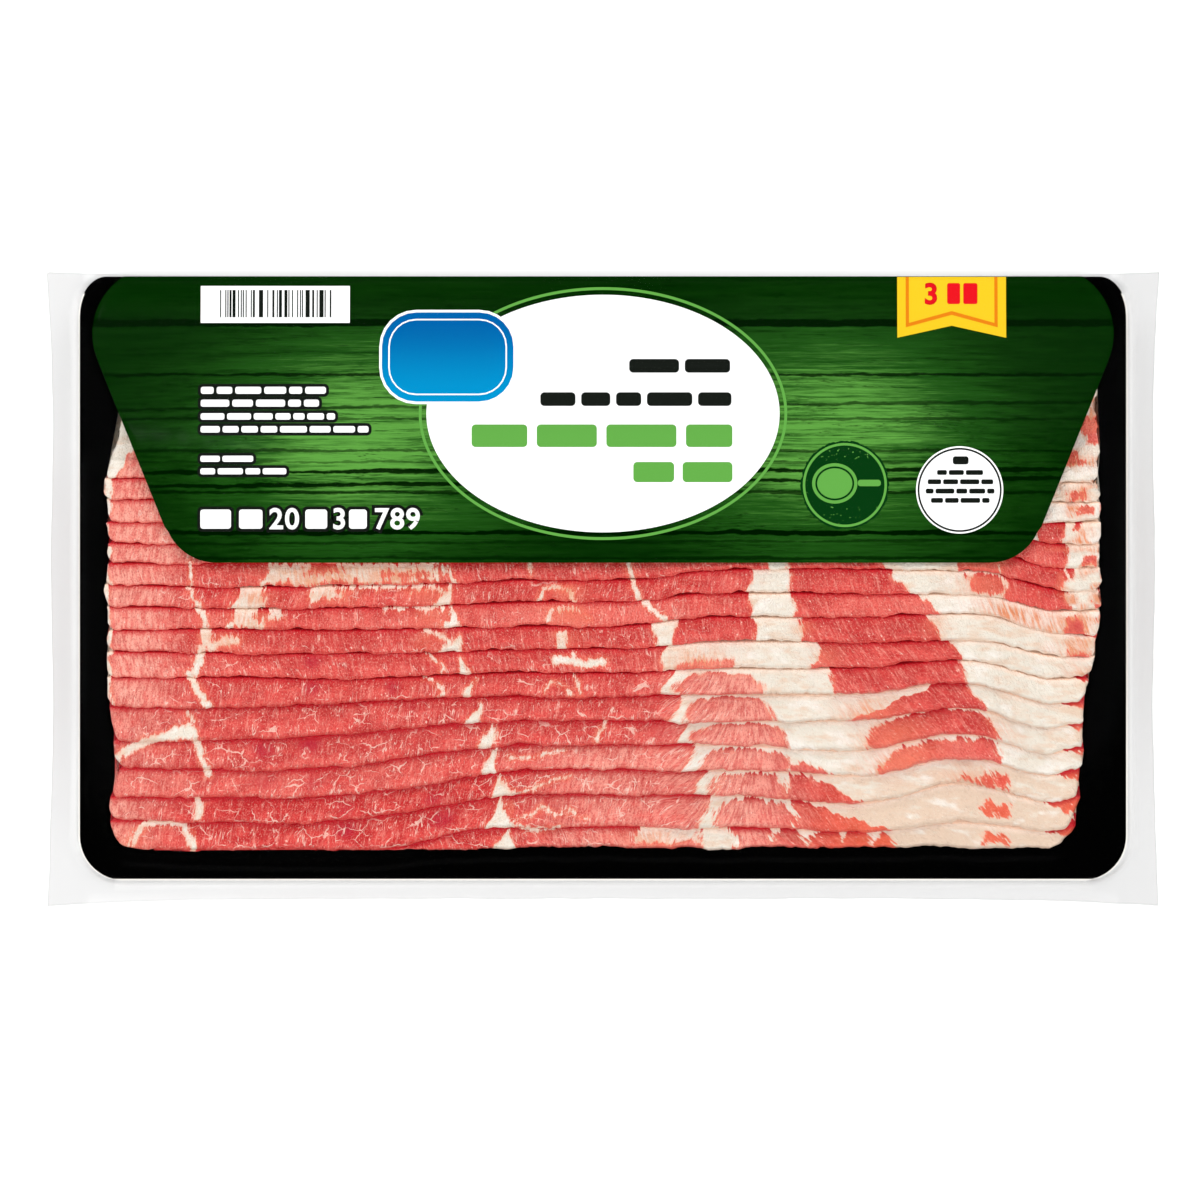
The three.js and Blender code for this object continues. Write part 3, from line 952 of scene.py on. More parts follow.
# Thin seams of fat.
STROKES = (
    Stroke((4, 5, 6), 0.99, ((-121.9, -44.4), (-120.4, -41.7), (-116.9, -39.5), (-112.5, -37.7),
                             (-107, -35.8), (-102.5, -34.5))),
    Stroke((3, 4, 5), 0.79, ((-102.5, -34), (-100.6, -38), (-99.3, -42), (-98.1, -45.7))),
    Stroke((5,), 1.49, ((-106, -36.5), (-102.1, -35))),
    Stroke((0, 1), 0.74, ((-117.2, -63.1), (-116, -60.3), (-113.5, -58.6), (-108.8, -57.9), (-104, -58.1),
                          (-102.8, -60.8), (-101.6, -64.8))),
    Stroke((2,), 0.84, ((-101.3, -49.4), (-100.1, -52.9), (-100.3, -56.4))),
    Stroke((6, 7), 0.84, ((-102.1, -20.9), (-100.8, -24.6), (-98.8, -27.3), (-97.8, -29.3))),
    Stroke((5,), 0.55, ((-102.5, -30.5), (-101.6, -33))),
    Stroke((7, 8), 0.99, ((-99.1, -14.6), (-99.8, -17.6), (-101.1, -20.6))),
    Stroke((11, 12), 0.4, ((-102.1, 6.5), (-101.6, 3.5), (-101.8, 1))),
    Stroke((10,), 0.4, ((-102.5, 0.7), (-101.6, -2.2), (-99.8, -4.5))),
    Stroke((9,), 0.74, ((-100.1, -4.5), (-98.6, -7.2), (-98.3, -10.2))),
    Stroke((8,), 1.04, ((-98.8, -9.7), (-98.1, -12.7), (-96.6, -14.6))),
    Stroke((8,), 0.89, ((-96.6, -14.2), (-93.6, -12.9), (-91.1, -12.7))),
    Stroke((6,), 0.2, ((-45.7, -21.1), (-42.2, -22.8), (-39, -25.6), (-41, -27.3))),
    Stroke((7,), 0.22, ((-43.7, -16.1), (-41.2, -17.6), (-39, -19.6), (-40.2, -20.9))),
    Stroke((8,), 0.5, ((-43.9, -10.2), (-41, -11.2), (-38, -12.9), (-39, -14.6))),
    Stroke((9,), 0.37, ((-53.6, -4.7), (-45.4, -4.5), (-40.2, -4.7), (-37.7, -7.2), (-39.5, -9.2))),
    Stroke((10,), 0.55, ((-64.8, 0.5), (-52.9, 0.7), (-42.5, 0.7), (-39, -1.5), (-40.7, -3.7))),
    Stroke((10,), 0.4, ((-16.1, -3), (-14.9, 0), (-10.9, 0.5), (-7.9, -0.7), (-7.4, -2.7))),
    Stroke((9,), 0.45, ((-13.4, -7.7), (-12.4, -5.2), (-9.2, -4.7), (-6, -5), (-3.5, -7.4))),
    Stroke((8,), 1.24, ((-10.2, -11.2), (-9.9, -13.9))),
    Stroke((7,), 0.99, ((-11.7, -17.6), (-7.7, -17.4), (-4.2, -18.4), (-0.2, -18.1))),
    Stroke((7,), 0.74, ((-7.2, -15.9), (-6.7, -18.1))),
    Stroke((6,), 0.4, ((-7, -20.4), (-6.2, -23.1), (-5.7, -25.6))),
    Stroke((5, 6), 0.2, ((-14.4, -25.1), (-12.7, -23.1), (-9.7, -23.6), (-7.7, -26.3))),
    Stroke((11,), 0.22, ((-18.1, 6.5), (-17.6, 1.7))),
    Stroke((11, 10), 0.6, ((5.5, 7.2), (7.2, 3.2), (8.4, -0.2), (9.4, -3.2))),
    Stroke((9,), 0.74, ((10.2, -2.7), (12.2, -5.2), (15.1, -7.4))),
    Stroke((4,), 0.4, ((-1.7, -37.5), (-0.2, -34), (0.7, -32.5))),
    Stroke((3,), 0.3, ((-23.3, -42), (-15.6, -41.2), (-9.2, -40))),
    Stroke((2,), 0.3, ((-22.8, -51.1), (-16.9, -49.2), (-12.7, -47.2), (-8.2, -46.4))),
    Stroke((1,), 0.3, ((-21.9, -57.4), (-18.1, -56.1), (-14.4, -53.9))),
    Stroke((1,), 0.25, ((-14.4, -53.9), (-11.7, -56.1), (-8.2, -54.9), (-4.5, -56.9))),
    Stroke((0, 1), 0.25, ((-21.9, -58.8), (-15.6, -59.6), (-10.7, -58.8))),
    Stroke((12, 11), 0.5, ((-41.5, 7.2), (-39, 4.5), (-36.3, 1.7))),
)
# Where fat and lean turn orange.
ORANGE = (
    Spot(11, -70, .5, 15, .8), Spot(11, -50, .5, 9, .7), Spot(10, -86, .5, 5, .8), Spot(10, -66, .7, 7, .7),
    Spot(10, -43, .6, 6, .7), Spot(9, -87, .5, 6, .8), Spot(9, -43, .5, 5, .6), Spot(8, -94, .5, 6, .7),
    Spot(8, -44, .4, 4, .5), Spot(10, -9, .5, 5, .8), Spot(9, -9, .5, 6, .8), Spot(8, -9, .5, 5, .4),
    Spot(7, 24, .1, 8, .9), Spot(11, 93, .5, 7, .8), Spot(10, 94, .5, 7, .8), Spot(9, 106, .4, 13, .7),
    Spot(8, 82, .5, 4, .5), Spot(8, 50, .6, 3, .6), Spot(7, 55, .4, 4, .6), Spot(5, 66, .2, 8, .9),
    Spot(4, 72, .3, 9, .9), Spot(3, 76, .3, 9, .8), Spot(3, 70, .1, 8, .5), Spot(2, 90, .1, 6, .5),
    Spot(9, 116, .2, 6, .7), Spot(8, 116, .2, 6, .8), Spot(4, 99, .5, 5, .4), Spot(0, 13, .6, 9, .7),
    Spot(7, 118, .1, 5, .6), Spot(1, -118, .2, 6, .5), Spot(9, 99, .4, 7, .5),
    Spot(14, 118, .5, 5, .5), Spot(15, 116, .5, 5, .5), Spot(13, 120, .7, 4, .5), Spot(16, 118, 1.2, 6, .5),
)
# The dried corners over the wedges.
CORNERS = tuple(Spot(row, tip + 5, .9, 6, 1) for row, tip, _ in WEDGES)
# Dark red stains.
BLOOD = (
    Spot(4, -84, .7, 3.2, .7), Spot(4, -72.5, .8, 3.2, .8), Spot(3, -84, .6, 4, .4), Spot(3, -72, .5, 3, .4),
    Spot(1, -64, .7, 3.2, .8), Spot(0, -62, .6, 4, .8), Spot(1, -40, .6, 4, .7), Spot(2, -42, .3, 3.5, .5),
    Spot(7, -72, .7, 3, .6), Spot(6, -72, .7, 3, .6), Spot(6, -52, .6, 2.2, .6), Spot(5, -47, .8, 3, .3),
    Spot(2, -64, .4, 3, .4), Spot(10, 28, .5, 5, .25), Spot(7, 20, .6, 6, .3), Spot(4, 16, .6, 6, .3),
    Spot(9, 117, .3, 4, .5),
)


@dataclass
class Slices:
    """The shingled slices: one closed piece each, with a finely divided strip where it shows.

    Attributes:
        shape: Where the slices lie.
        finish: Finish of the meat.
        columns: Number of points along a slice.
        clearance: How much thinner a slice is than its room, in mm.
        end_radius: Radius of the round ends, in mm.
        tops: Points of the upper sides in mm, added to as the slices are built.
    """

    shape: StackShape
    finish: MeatFinish
    columns: int = 600
    clearance: float = 0.05
    end_radius: float = 1.3
    tops: list[Array] = field(default_factory=list)

    def build(self) -> list[bpy.types.Object]:
        """Builds all slices."""
        material = self.finish.material()
        return [self._slice(index, material) for index in range(self.shape.count)]

    def _last(self, index: int) -> bool:
        """Returns whether a slice is the uppermost one."""
        return index == self.shape.count - 1

    def _section(self, index: int) -> tuple[Array, Array]:
        """Returns the stations around a slice: steps above its lower edge, and 1 on top or 0 below."""
        near = [0, .008, .02, .04, .07, .1, .14, .19, .25, .32, .4, .48, .56, .64, .72, .8, .87, .93, .98,
                1.04]
        tail = np.arange(1.2, 6.9, .2) if self._last(index) else np.array([1.3, 2, 3, 4, 5, 6, 6.6])
        top = np.concatenate([near, tail, [7.0]])
        bottom = np.array([7.0, 6.0, 5.0, 3.0, 2.0, 1.0, .5, .2, .1, .04, 0.0])
        steps = np.concatenate([top, bottom, [0.0]])
        sides = np.concatenate([np.ones(len(top)), np.zeros(len(bottom)), [1.0]])
        return steps, sides

    def _ends(self, index: int, steps: Array, shown: Array) -> tuple[Array, Array]:
        """Returns the left and right ends of a slice at its stations.

        Args:
            index: Number of the slice from the foot.
            steps: Stations, in steps above the slice's lower edge.
            shown: 1 at stations that show and 0 at covered ones.

        Returns:
            The two ends in X.
        """
        shape, knob = self.shape, LatticeNoise(80)
        rows = index + steps
        plain = np.array([shape.ends(row) for row in range(int(index + shape.reach) + 2)])
        left, right = (np.interp(rows, range(len(plain)), plain[:, side]) for side in (0, 1))
        # How far the round corners reach in X at the left, up in steps, and in X at the right.
        reach, rise, right_reach = (9.0, 1.0, 4.5) if index < 2 else (1.9, .45, 1.9)
        corner = 1 - np.sqrt(1 - (1 - np.clip(steps / rise, 0, 1)) ** 2)
        bumps = .7 * knob.sample(rows * 1.3, 3.5) + .35 * knob.sample(rows * 4.3, 7.5)
        lumps = 1.1 * knob.sample(rows * 1.5, 9.5) + .6 * knob.sample(rows * 4.1, 5.5)
        hidden = smooth_step(.98, 1.1, steps) * (not self._last(index))
        tucked = 11.5 * (1 - smooth_step(2.0, 3.2, steps)) if index == 0 else 1.4 * hidden
        left = left + reach * corner + bumps * shown + tucked
        right = right - hidden - right_reach * corner * (0.6 + .4 * draw(index, 3)) + lumps * shown
        return left, right

    def _levels(self, index: int, steps: Array, x: Array) -> tuple[Array, Array]:
        """Returns the levels of a slice's points.

        Args:
            index: Number of the slice from the foot.
            steps: Stations, in steps above the slice's lower edge.
            x: Places of the points in X, a row for each station.

        Returns:
            The places of the points in Y, and the height in Y of the strip that shows.
        """
        rows = index + steps
        low = np.floor(rows).astype(int)
        edges = {row: self.shape.edge(row, x) for row in range(low.min(), low.max() + 2)}
        y = np.array([(1 - share) * edges[row][i] + share * edges[row + 1][i]
                      for i, (row, share) in enumerate(zip(low, rows - low))])
        rough = LatticeNoise(40 + index)
        ragged = .3 * rough.sample(x / 2.1, 1.5) + .55 * rough.sample(x / 6.8, 4.5)
        ragged = ragged + .2 * rough.sample(x / .9, 8.5)
        return y + ragged * (1 - smooth_step(0.1, 1.1, steps))[:, None], edges[index + 1] - edges[index]

    def _heights(self, index: int, steps: Array, upper: Array, x: Array, inset: Array,
                 relief: Array) -> Array:
        """Returns the heights of a slice's points.

        Args:
            index: Number of the slice from the foot.
            steps: Stations, in steps above the slice's lower edge, one row each.
            upper: Whether a station lies on the slice's upper side.
            x: Places of the points in X.
            inset: Their distance from the nearer end.
            relief: Unevenness of the upper side.

        Returns:
            The heights in mm.
        """
        thin = self.shape.thickness * self.shape.thinning(x)
        round_end = .2 + .8 * np.sqrt(1 - (1 - np.clip(inset / self.end_radius, 0, 1)) ** 2)
        room = thin * self.shape.share(steps)
        floor = self.shape.floor + thin * self.shape.below(index, steps)
        lip = room * (1 - round_end) * .35
        top = floor + lip + np.maximum(room * round_end - self.clearance, .15)
        top = np.maximum(top + relief * np.clip(steps / .1, 0, 1), floor + .1)
        return np.where(upper, top, np.maximum(floor + lip, 0))

    def _slice(self, index: int, material: bpy.types.Material) -> bpy.types.Object:
        """Builds one slice."""
        steps, sides = self._section(index)
        shown = 1 - smooth_step(.96, 1.15, steps) * (not self._last(index))
        left, right = self._ends(index, steps, shown)
        steps, shown, left, right = (row[:, None] for row in (steps, shown, left, right))
        t = np.linspace(0, 1, self.columns)
        x = left + (right - left) * (t - 0.1 * np.sin(2 * math.pi * t) / (2 * math.pi))
        y, height = self._levels(index, steps[:, 0], x)
        rough, knob = LatticeNoise(40 + index), LatticeNoise(80)
        lumpy = smooth_step(104, 118, x) * smooth_step(7, 10, index + steps) * shown
        lump = knob.sample(x / 2.9, y / 2.6)
        swell = LatticeNoise(7).sample(x / 9, y / 7) * .25 * shown
        swell = swell + lumpy * (1.3 * lump + .5 * knob.sample(x / 1.3, y / 1.2))
        relief = (.26 * rough.sample(x / 3.2, y / 2.6) + .14 * rough.sample(x / 1.3, y / 1.9)) * shown
        inset = np.minimum(x - left, right - x)
        z = self._heights(index, steps, (sides > .5)[:, None], x, inset, relief + swell * .6)
        points = np.stack([x, y, z], axis=2)
        self.tops.append(points[sides > .5].reshape(-1, 3))
        values = self._values(index, x, y, steps + 0 * x, height)
        # Painted shade: the hollows between the fat lumps at the right end are tinted orange.
        values["orange"] = np.clip(values["orange"] + .9 * lumpy * np.clip(-2.4 * lump, 0, 1), 0, 1)
        name = f"slice_{index + 1:02d}"
        mesh = shell_mesh(name, points, True, values, caps=True)
        return place_piece(f"bacon_{index + 1:02d}", mesh, [material], [name])

    def _fat(self, index: int, x: Array, y: Array, s: Array, height: Array) -> Array:
        """Returns where a slice is fat.

        Args:
            index: Number of the slice from the foot.
            x: Places of the points in X.
            y: Places of the points in Y.
            s: Their steps above the slice's lower edge.
            height: Height in Y of the strip that shows.

        Returns:
            The distance into the fat in mm, negative in the lean.
        """
        warp, own = LatticeNoise(60), LatticeNoise(61 + index)
        wx = x + 1.1 * warp.sample(x / 5.2, y / 4.1) + .9 * own.sample(x / 3.1, s * 1.7)
        wx = wx + .35 * own.sample(x / 1.1, s * 3)
        ws = s + .09 * own.sample(x / 2.4, s + 9.5) + .05 * own.sample(x, 2 * s + 5.5)
        fat = np.full(x.shape, -7.0)
        for patch in (patch for patch in PATCHES if patch.row == index):
            depth = patch.depth(wx, ws, height)
            is_fat = patch.kind in (Kind.FAT, Kind.PEAK, Kind.SPIKE)
            fat = np.maximum(fat, depth) if is_fat else np.minimum(fat, -depth)
        sx, sy = x + .45 * own.sample(x / 2.2, y / 1.9), y + .45 * own.sample(x / 1.9, y / 2.2 + 30.5)
        for stroke in (stroke for stroke in STROKES if index in stroke.rows):
            fat = np.maximum(fat, stroke.depth(sx, sy))
        return np.clip(fat, -7, 7)

    def _values(self, index: int, x: Array, y: Array, s: Array, height: Array) -> dict[str, Array]:
        """Returns the vertex values of one slice.

        Args:
            index: Number of the slice from the foot.
            x: Places of the points in X.
            y: Places of the points in Y.
            s: Their steps above the slice's lower edge.
            height: Height in Y of the strip that shows.

        Returns:
            The values by name.
        """
        warp, own, last = LatticeNoise(60), LatticeNoise(61 + index), self._last(index)
        upper = float(smooth_step(4, 7, index))
        marble = (1 - smooth_step(15, 45, x)) * (0.3 + .7 * (1 - upper)) * smooth_step(-122, -112, x)
        pale = smooth_step(-100, -116, x) * (.35 + .6 * upper) + bell(33, 15, x) * (index < 8)
        pale = pale + .7 * bell(0, 16, x) * (index < 4) + .6 * bell(-121, 6, x) * (index < 3)
        pale = pale + .5 * (index > 11) * smooth_step(-90, -105, x) + .12 * (index > 2)
        ragged = .42 + .7 * (1 - smooth_step(2, 4.5, index)) * smooth_step(20, 30, x)
        ragged = ragged + .5 * (index > 8) * smooth_step(-30, -45, x) * smooth_step(-98, -90, x)
        fan = .85 * np.clip((x - 35) / 12, -1, 1) * smooth_step(10, 22, x) * (1 - smooth_step(5, 8, index))
        turn = fan + .4 * float(smooth_step(5, 8, index)) * smooth_step(30, 60, x) + .25 * draw(index, 44)
        tone = .55 * draw(index, 31) + .6 * warp.sample(x / 16 + 3 * index, 20.5)
        tan = (1 - float(smooth_step(.6, 3.2, index))) * smooth_step(40, 70, x)
        return {
            "fat": self._fat(index, x, y, s, height),
            "groove": np.full(x.shape, 9.0) if last else np.clip((1 - s) * height, 0, 9),
            "lip": np.clip(s * height, 0, 9),
            "strip": np.full(x.shape, .3) if last else np.clip(s, 0, 1),
            "blood": self._spots(BLOOD, index, x, s, height),
            "orange": self._spots(ORANGE, index, x, s, height),
            "tan": np.maximum(tan, self._spots(CORNERS, index, x, s, height)),
            "pale": np.clip(pale, 0, 1), "marble": marble, "ragged": ragged,
            "tone": tone + .35 * own.sample(x / 4.5, 3.5),
            "meat": np.stack([x + turn * s * height, y, np.full(x.shape, 3.0 * index)], axis=2),
        }

    @staticmethod
    def _spots(spots: Sequence[Spot], index: int, x: Array, s: Array, height: Array) -> Array:
        """Returns the sum of the blots on one slice, at most 1."""
        total = np.zeros(x.shape)
        for spot in spots:
            if spot.row == index:
                across, up = (x - spot.x) / spot.reach, (s - spot.s) * height / max(3, spot.reach * .6)
                total += spot.strength * np.exp(-(across ** 2 + up ** 2) * 1.2)
        return np.clip(total, 0, 1)


@dataclass(frozen=True)
class CardShape:
    """The folded card: a board under the slices and a flap over their head, in mm.

    Attributes:
        half: Half the board's width.
        foot: Level of the board's foot.
        fold: Level where the fold starts.
        fold_half: Half the board's width at the fold.
        foot_radius: Corner radius at the board's foot.
        head_radius: Corner radius at the board's head.
        thickness: Thickness of the card.
        top: Height of the board's upper face.
        bend: Outer radius of the fold.
        flap_foot: Level of the flap's foot.
    """

    half: float = 130.2
    foot: float = -72.3
    fold: float = 76.1
    fold_half: float = 123.2
    foot_radius: float = 11.0
    head_radius: float = 8.5
    thickness: float = 0.8
    top: float = 1.7
    bend: float = 1.5
    flap_foot: float = 6.5

    def board_half(self, y: Array) -> Array:
        """Returns half the board's width at a level."""
        low = np.clip(self.foot + self.foot_radius - y, 0, self.foot_radius)
        high = np.clip((y - self.fold + self.head_radius) / (self.head_radius + self.bend), 0, 1)
        corner = self.foot_radius - np.sqrt(self.foot_radius ** 2 - low ** 2)
        return self.half - corner - (self.half - self.fold_half) * (1 - np.sqrt(1 - high ** 2))

    def flap_half(self, y: Array) -> Array:
        """Returns half the flap's width at a level."""
        y = np.asarray(y, float)
        corner = 95.7 + np.sqrt(np.clip(169 - np.clip(19.5 - y, 0, 13) ** 2, 0, None))
        ear = 109.7 + np.sqrt(np.clip(289 - np.maximum(0, y - 63.3) ** 2, 0, None))
        side = 111.2 + .405 * (y - 22.1)
        joined = -.5 * np.log(np.exp(-(side - 120) / .5) + np.exp(-(ear - 120) / .5)) + 120
        return np.where(y < 14.5, corner, joined)

    def outer(self, x: Array, y: Array) -> Array:
        """Returns the height of the flap's outer face."""
        x, y = np.asarray(x, float), np.asarray(y, float)
        crest = 21.5 - 0.1 * smooth_step(28, 6.5, y)
        middle = 3.5 + (crest - 3.5) * smooth_step(76.6, 28, y)
        lifted = (middle - 3.5) * StackShape.thinning(x) + 3.5
        slope = np.abs(18 * 6 * np.clip((76.6 - y) / 48.6, 0, 1) * np.clip((y - 28) / 48.6, 0, 1) / 48.6)
        face = lifted + self.thickness / 2 * np.sqrt(1 + slope ** 2)
        arc = 2.4 + np.sqrt(np.clip(self.bend ** 2 - np.clip(y - self.fold, 0, None) ** 2, 0, None))
        return np.where(y > self.fold, arc, face)


@dataclass(frozen=True)
class FoldedCard:
    """The black board and the printed flap, which are one folded sheet.

    Attributes:
        shape: Shape of the card.
        paper: Finish of its bare side and cut edges.
        black: Finish of the board's printed side.
        green: Finish of the flap's printed side.
        line: Width of the pale line along the board's cut edge.
        ear: Distance from the middle from where the board runs on beside the fold.
    """

    shape: CardShape
    paper: PlainFinish = PlainFinish("card paper", srgb(236, 233, 226), 0.7)
    black: PlainFinish = PlainFinish("black print", srgb(1, 1, 1), 0.3)
    green: PlankFinish = PlankFinish()
    line: float = 0.33
    ear: float = 114.0

    def build(self) -> list[bpy.types.Object]:
        """Builds both parts of the sheet."""
        return [self._board(), self._flap()]

    def _board(self) -> bpy.types.Object:
        """Builds the board with its black upper face and the pale line of its cut edge."""
        shape, line = self.shape, self.line
        low = shape.foot + shape.foot_radius * (1 - np.cos(np.linspace(0, math.pi / 2, 14)))
        high = shape.fold - shape.head_radius
        high = high + (shape.head_radius + shape.bend - .05) * np.linspace(0, 1, 16) ** .6
        middle = np.linspace(low[-1] + 2, high[0] - 2, 20)
        rows = np.unique(np.concatenate([low, [shape.foot + line], middle, high]))[:, None]
        half = shape.board_half(rows)
        x = np.concatenate([-half, np.linspace(-1, 1, 41)[None, :] * (half - line), half], axis=1)
        points = np.stack([x, rows + 0 * x, np.full(x.shape, shape.top)], axis=2)
        mesh = self._thickened("board", points, lambda c: c.y < shape.fold or abs(c.x) > self.ear)
        materials = np.ones(len(mesh.polygons), np.int32)
        for face in mesh.polygons:
            cx, cy, _ = face.center / MM
            inside = abs(cx) < float(shape.board_half(np.array(cy))) - line * .9 and cy > shape.foot + line
            if cy > shape.fold - 3 or (face.normal.z > .7 and inside):
                materials[face.index] = 0
        mesh.polygons.foreach_set("material_index", materials)
        return place_piece("card_board", mesh, [self.black.material(), self.paper.material()],
                           ["folded_card"], smooth=False)

    def _flap(self) -> bpy.types.Object:
        """Builds the flap from the fold to its foot."""
        shape = self.shape
        turn = np.linspace(0, math.pi, 13)
        corner = 19.5 - 13 * np.sin(np.linspace(math.pi / 2, .42, 12))
        levels = np.concatenate([shape.fold + shape.bend * np.sin(turn),
                                 np.linspace(shape.fold, 15.5, 62)[1:], corner[::-1]])[:, None]
        x = shape.flap_half(levels) * np.linspace(-1, 1, 121)[None, :]
        y = levels + 0 * x
        z = shape.outer(x, y)
        z[:len(turn)] = (shape.top + .7 - shape.bend * np.cos(turn))[:, None]
        mesh = self._thickened("flap", np.stack([x, y, z], axis=2), lambda c: True)
        bm = bmesh.new()
        bm.from_mesh(mesh)
        bm.normal_update()
        for face in bm.faces:
            centre = face.calc_center_median() / MM
            past = centre.y - shape.fold
            facing = Vector((0, past, centre.z - 2.4)) if past > 0 else Vector((0, 0, 1))
            face.material_index = 0 if face.normal.dot(facing.normalized()) > -.5 else 1
        bm.to_mesh(mesh)
        bm.free()
        return place_piece("card_flap", mesh, [self.green.material(), self.paper.material()],
                           ["folded_card"], smooth=False)

    def _thickened(self, name: str, points: Array, keep: Callable[[Vector], bool]) -> bpy.types.Mesh:
        """Returns a closed sheet of the card's thickness under a grid of points.

        Args:
            name: Name of the mesh.
            points: Rows by columns by three, in mm.
            keep: Says for the middle of a face, in mm, whether it is kept.

        Returns:
            The mesh.
        """
        mesh = shell_mesh(name, points, False)
        bm = bmesh.new()
        bm.from_mesh(mesh)
        spare = [face for face in bm.faces if not keep(face.calc_center_median() / MM)]
        bmesh.ops.delete(bm, geom=spare, context="FACES")
        bmesh.ops.recalc_face_normals(bm, faces=bm.faces)
        if sum(face.normal.z * face.calc_area() for face in bm.faces) < 0:
            bmesh.ops.reverse_faces(bm, faces=bm.faces)
        bmesh.ops.solidify(bm, geom=bm.faces, thickness=self.shape.thickness * MM)
        bmesh.ops.recalc_face_normals(bm, faces=bm.faces)
        bm.to_mesh(mesh)
        bm.free()
        return mesh


def oval(x: float, y: float, rx: float, ry: float, count: int = 96) -> Loop:
    """Returns the outline of an oval."""
    angles = [2 * math.pi * k / count for k in range(count)]
    return [(x + rx * math.cos(a), y + ry * math.sin(a)) for a in angles]


def block(x0: float, y0: float, x1: float, y1: float, radius: float = 0.0) -> Loop:
    """Returns the outline of a rectangle.

    Args:
        x0: Left side.
        y0: Lower side.
        x1: Right side.
        y1: Upper side.
        radius: Radius of its corners.

    Returns:
        The outline.
    """
    if radius <= 0:
        return [(x0, y0), (x1, y0), (x1, y1), (x0, y1)]
    out = []
    for cx, cy, start in ((x1 - radius, y0 + radius, -90), (x1 - radius, y1 - radius, 0),
                          (x0 + radius, y1 - radius, 90), (x0 + radius, y0 + radius, 180)):
        for k in range(7):
            a = math.radians(start + 15 * k)
            out.append((cx + radius * math.cos(a), cy + radius * math.sin(a)))
    return out


class Ink(Enum):
    """Colours of the print: finish and material slot."""

    WHITE = (PlainFinish("white print", srgb(253, 253, 253)), Slot.WHITE)
    DARK = (PlainFinish("dark print", srgb(20, 24, 20)), Slot.DARK)
    DEEP = (PlainFinish("deep green print", srgb(6, 52, 14)), Slot.DARK)
    LIME = (PlainFinish("lime print", srgb(92, 158, 68)), Slot.LIME)
    YELLOW = (PlainFinish("yellow print", srgb(226, 188, 34)), Slot.YELLOW)
    ORANGE = (PlainFinish("orange print", srgb(216, 122, 20)), Slot.YELLOW)
    RED = (PlainFinish("red print", srgb(214, 20, 30)), Slot.RED)
    BLUE = (FadeFinish("blue print", srgb(0, 88, 154), srgb(1, 136, 190), (47.0, 68.0)), Slot.BLUE)


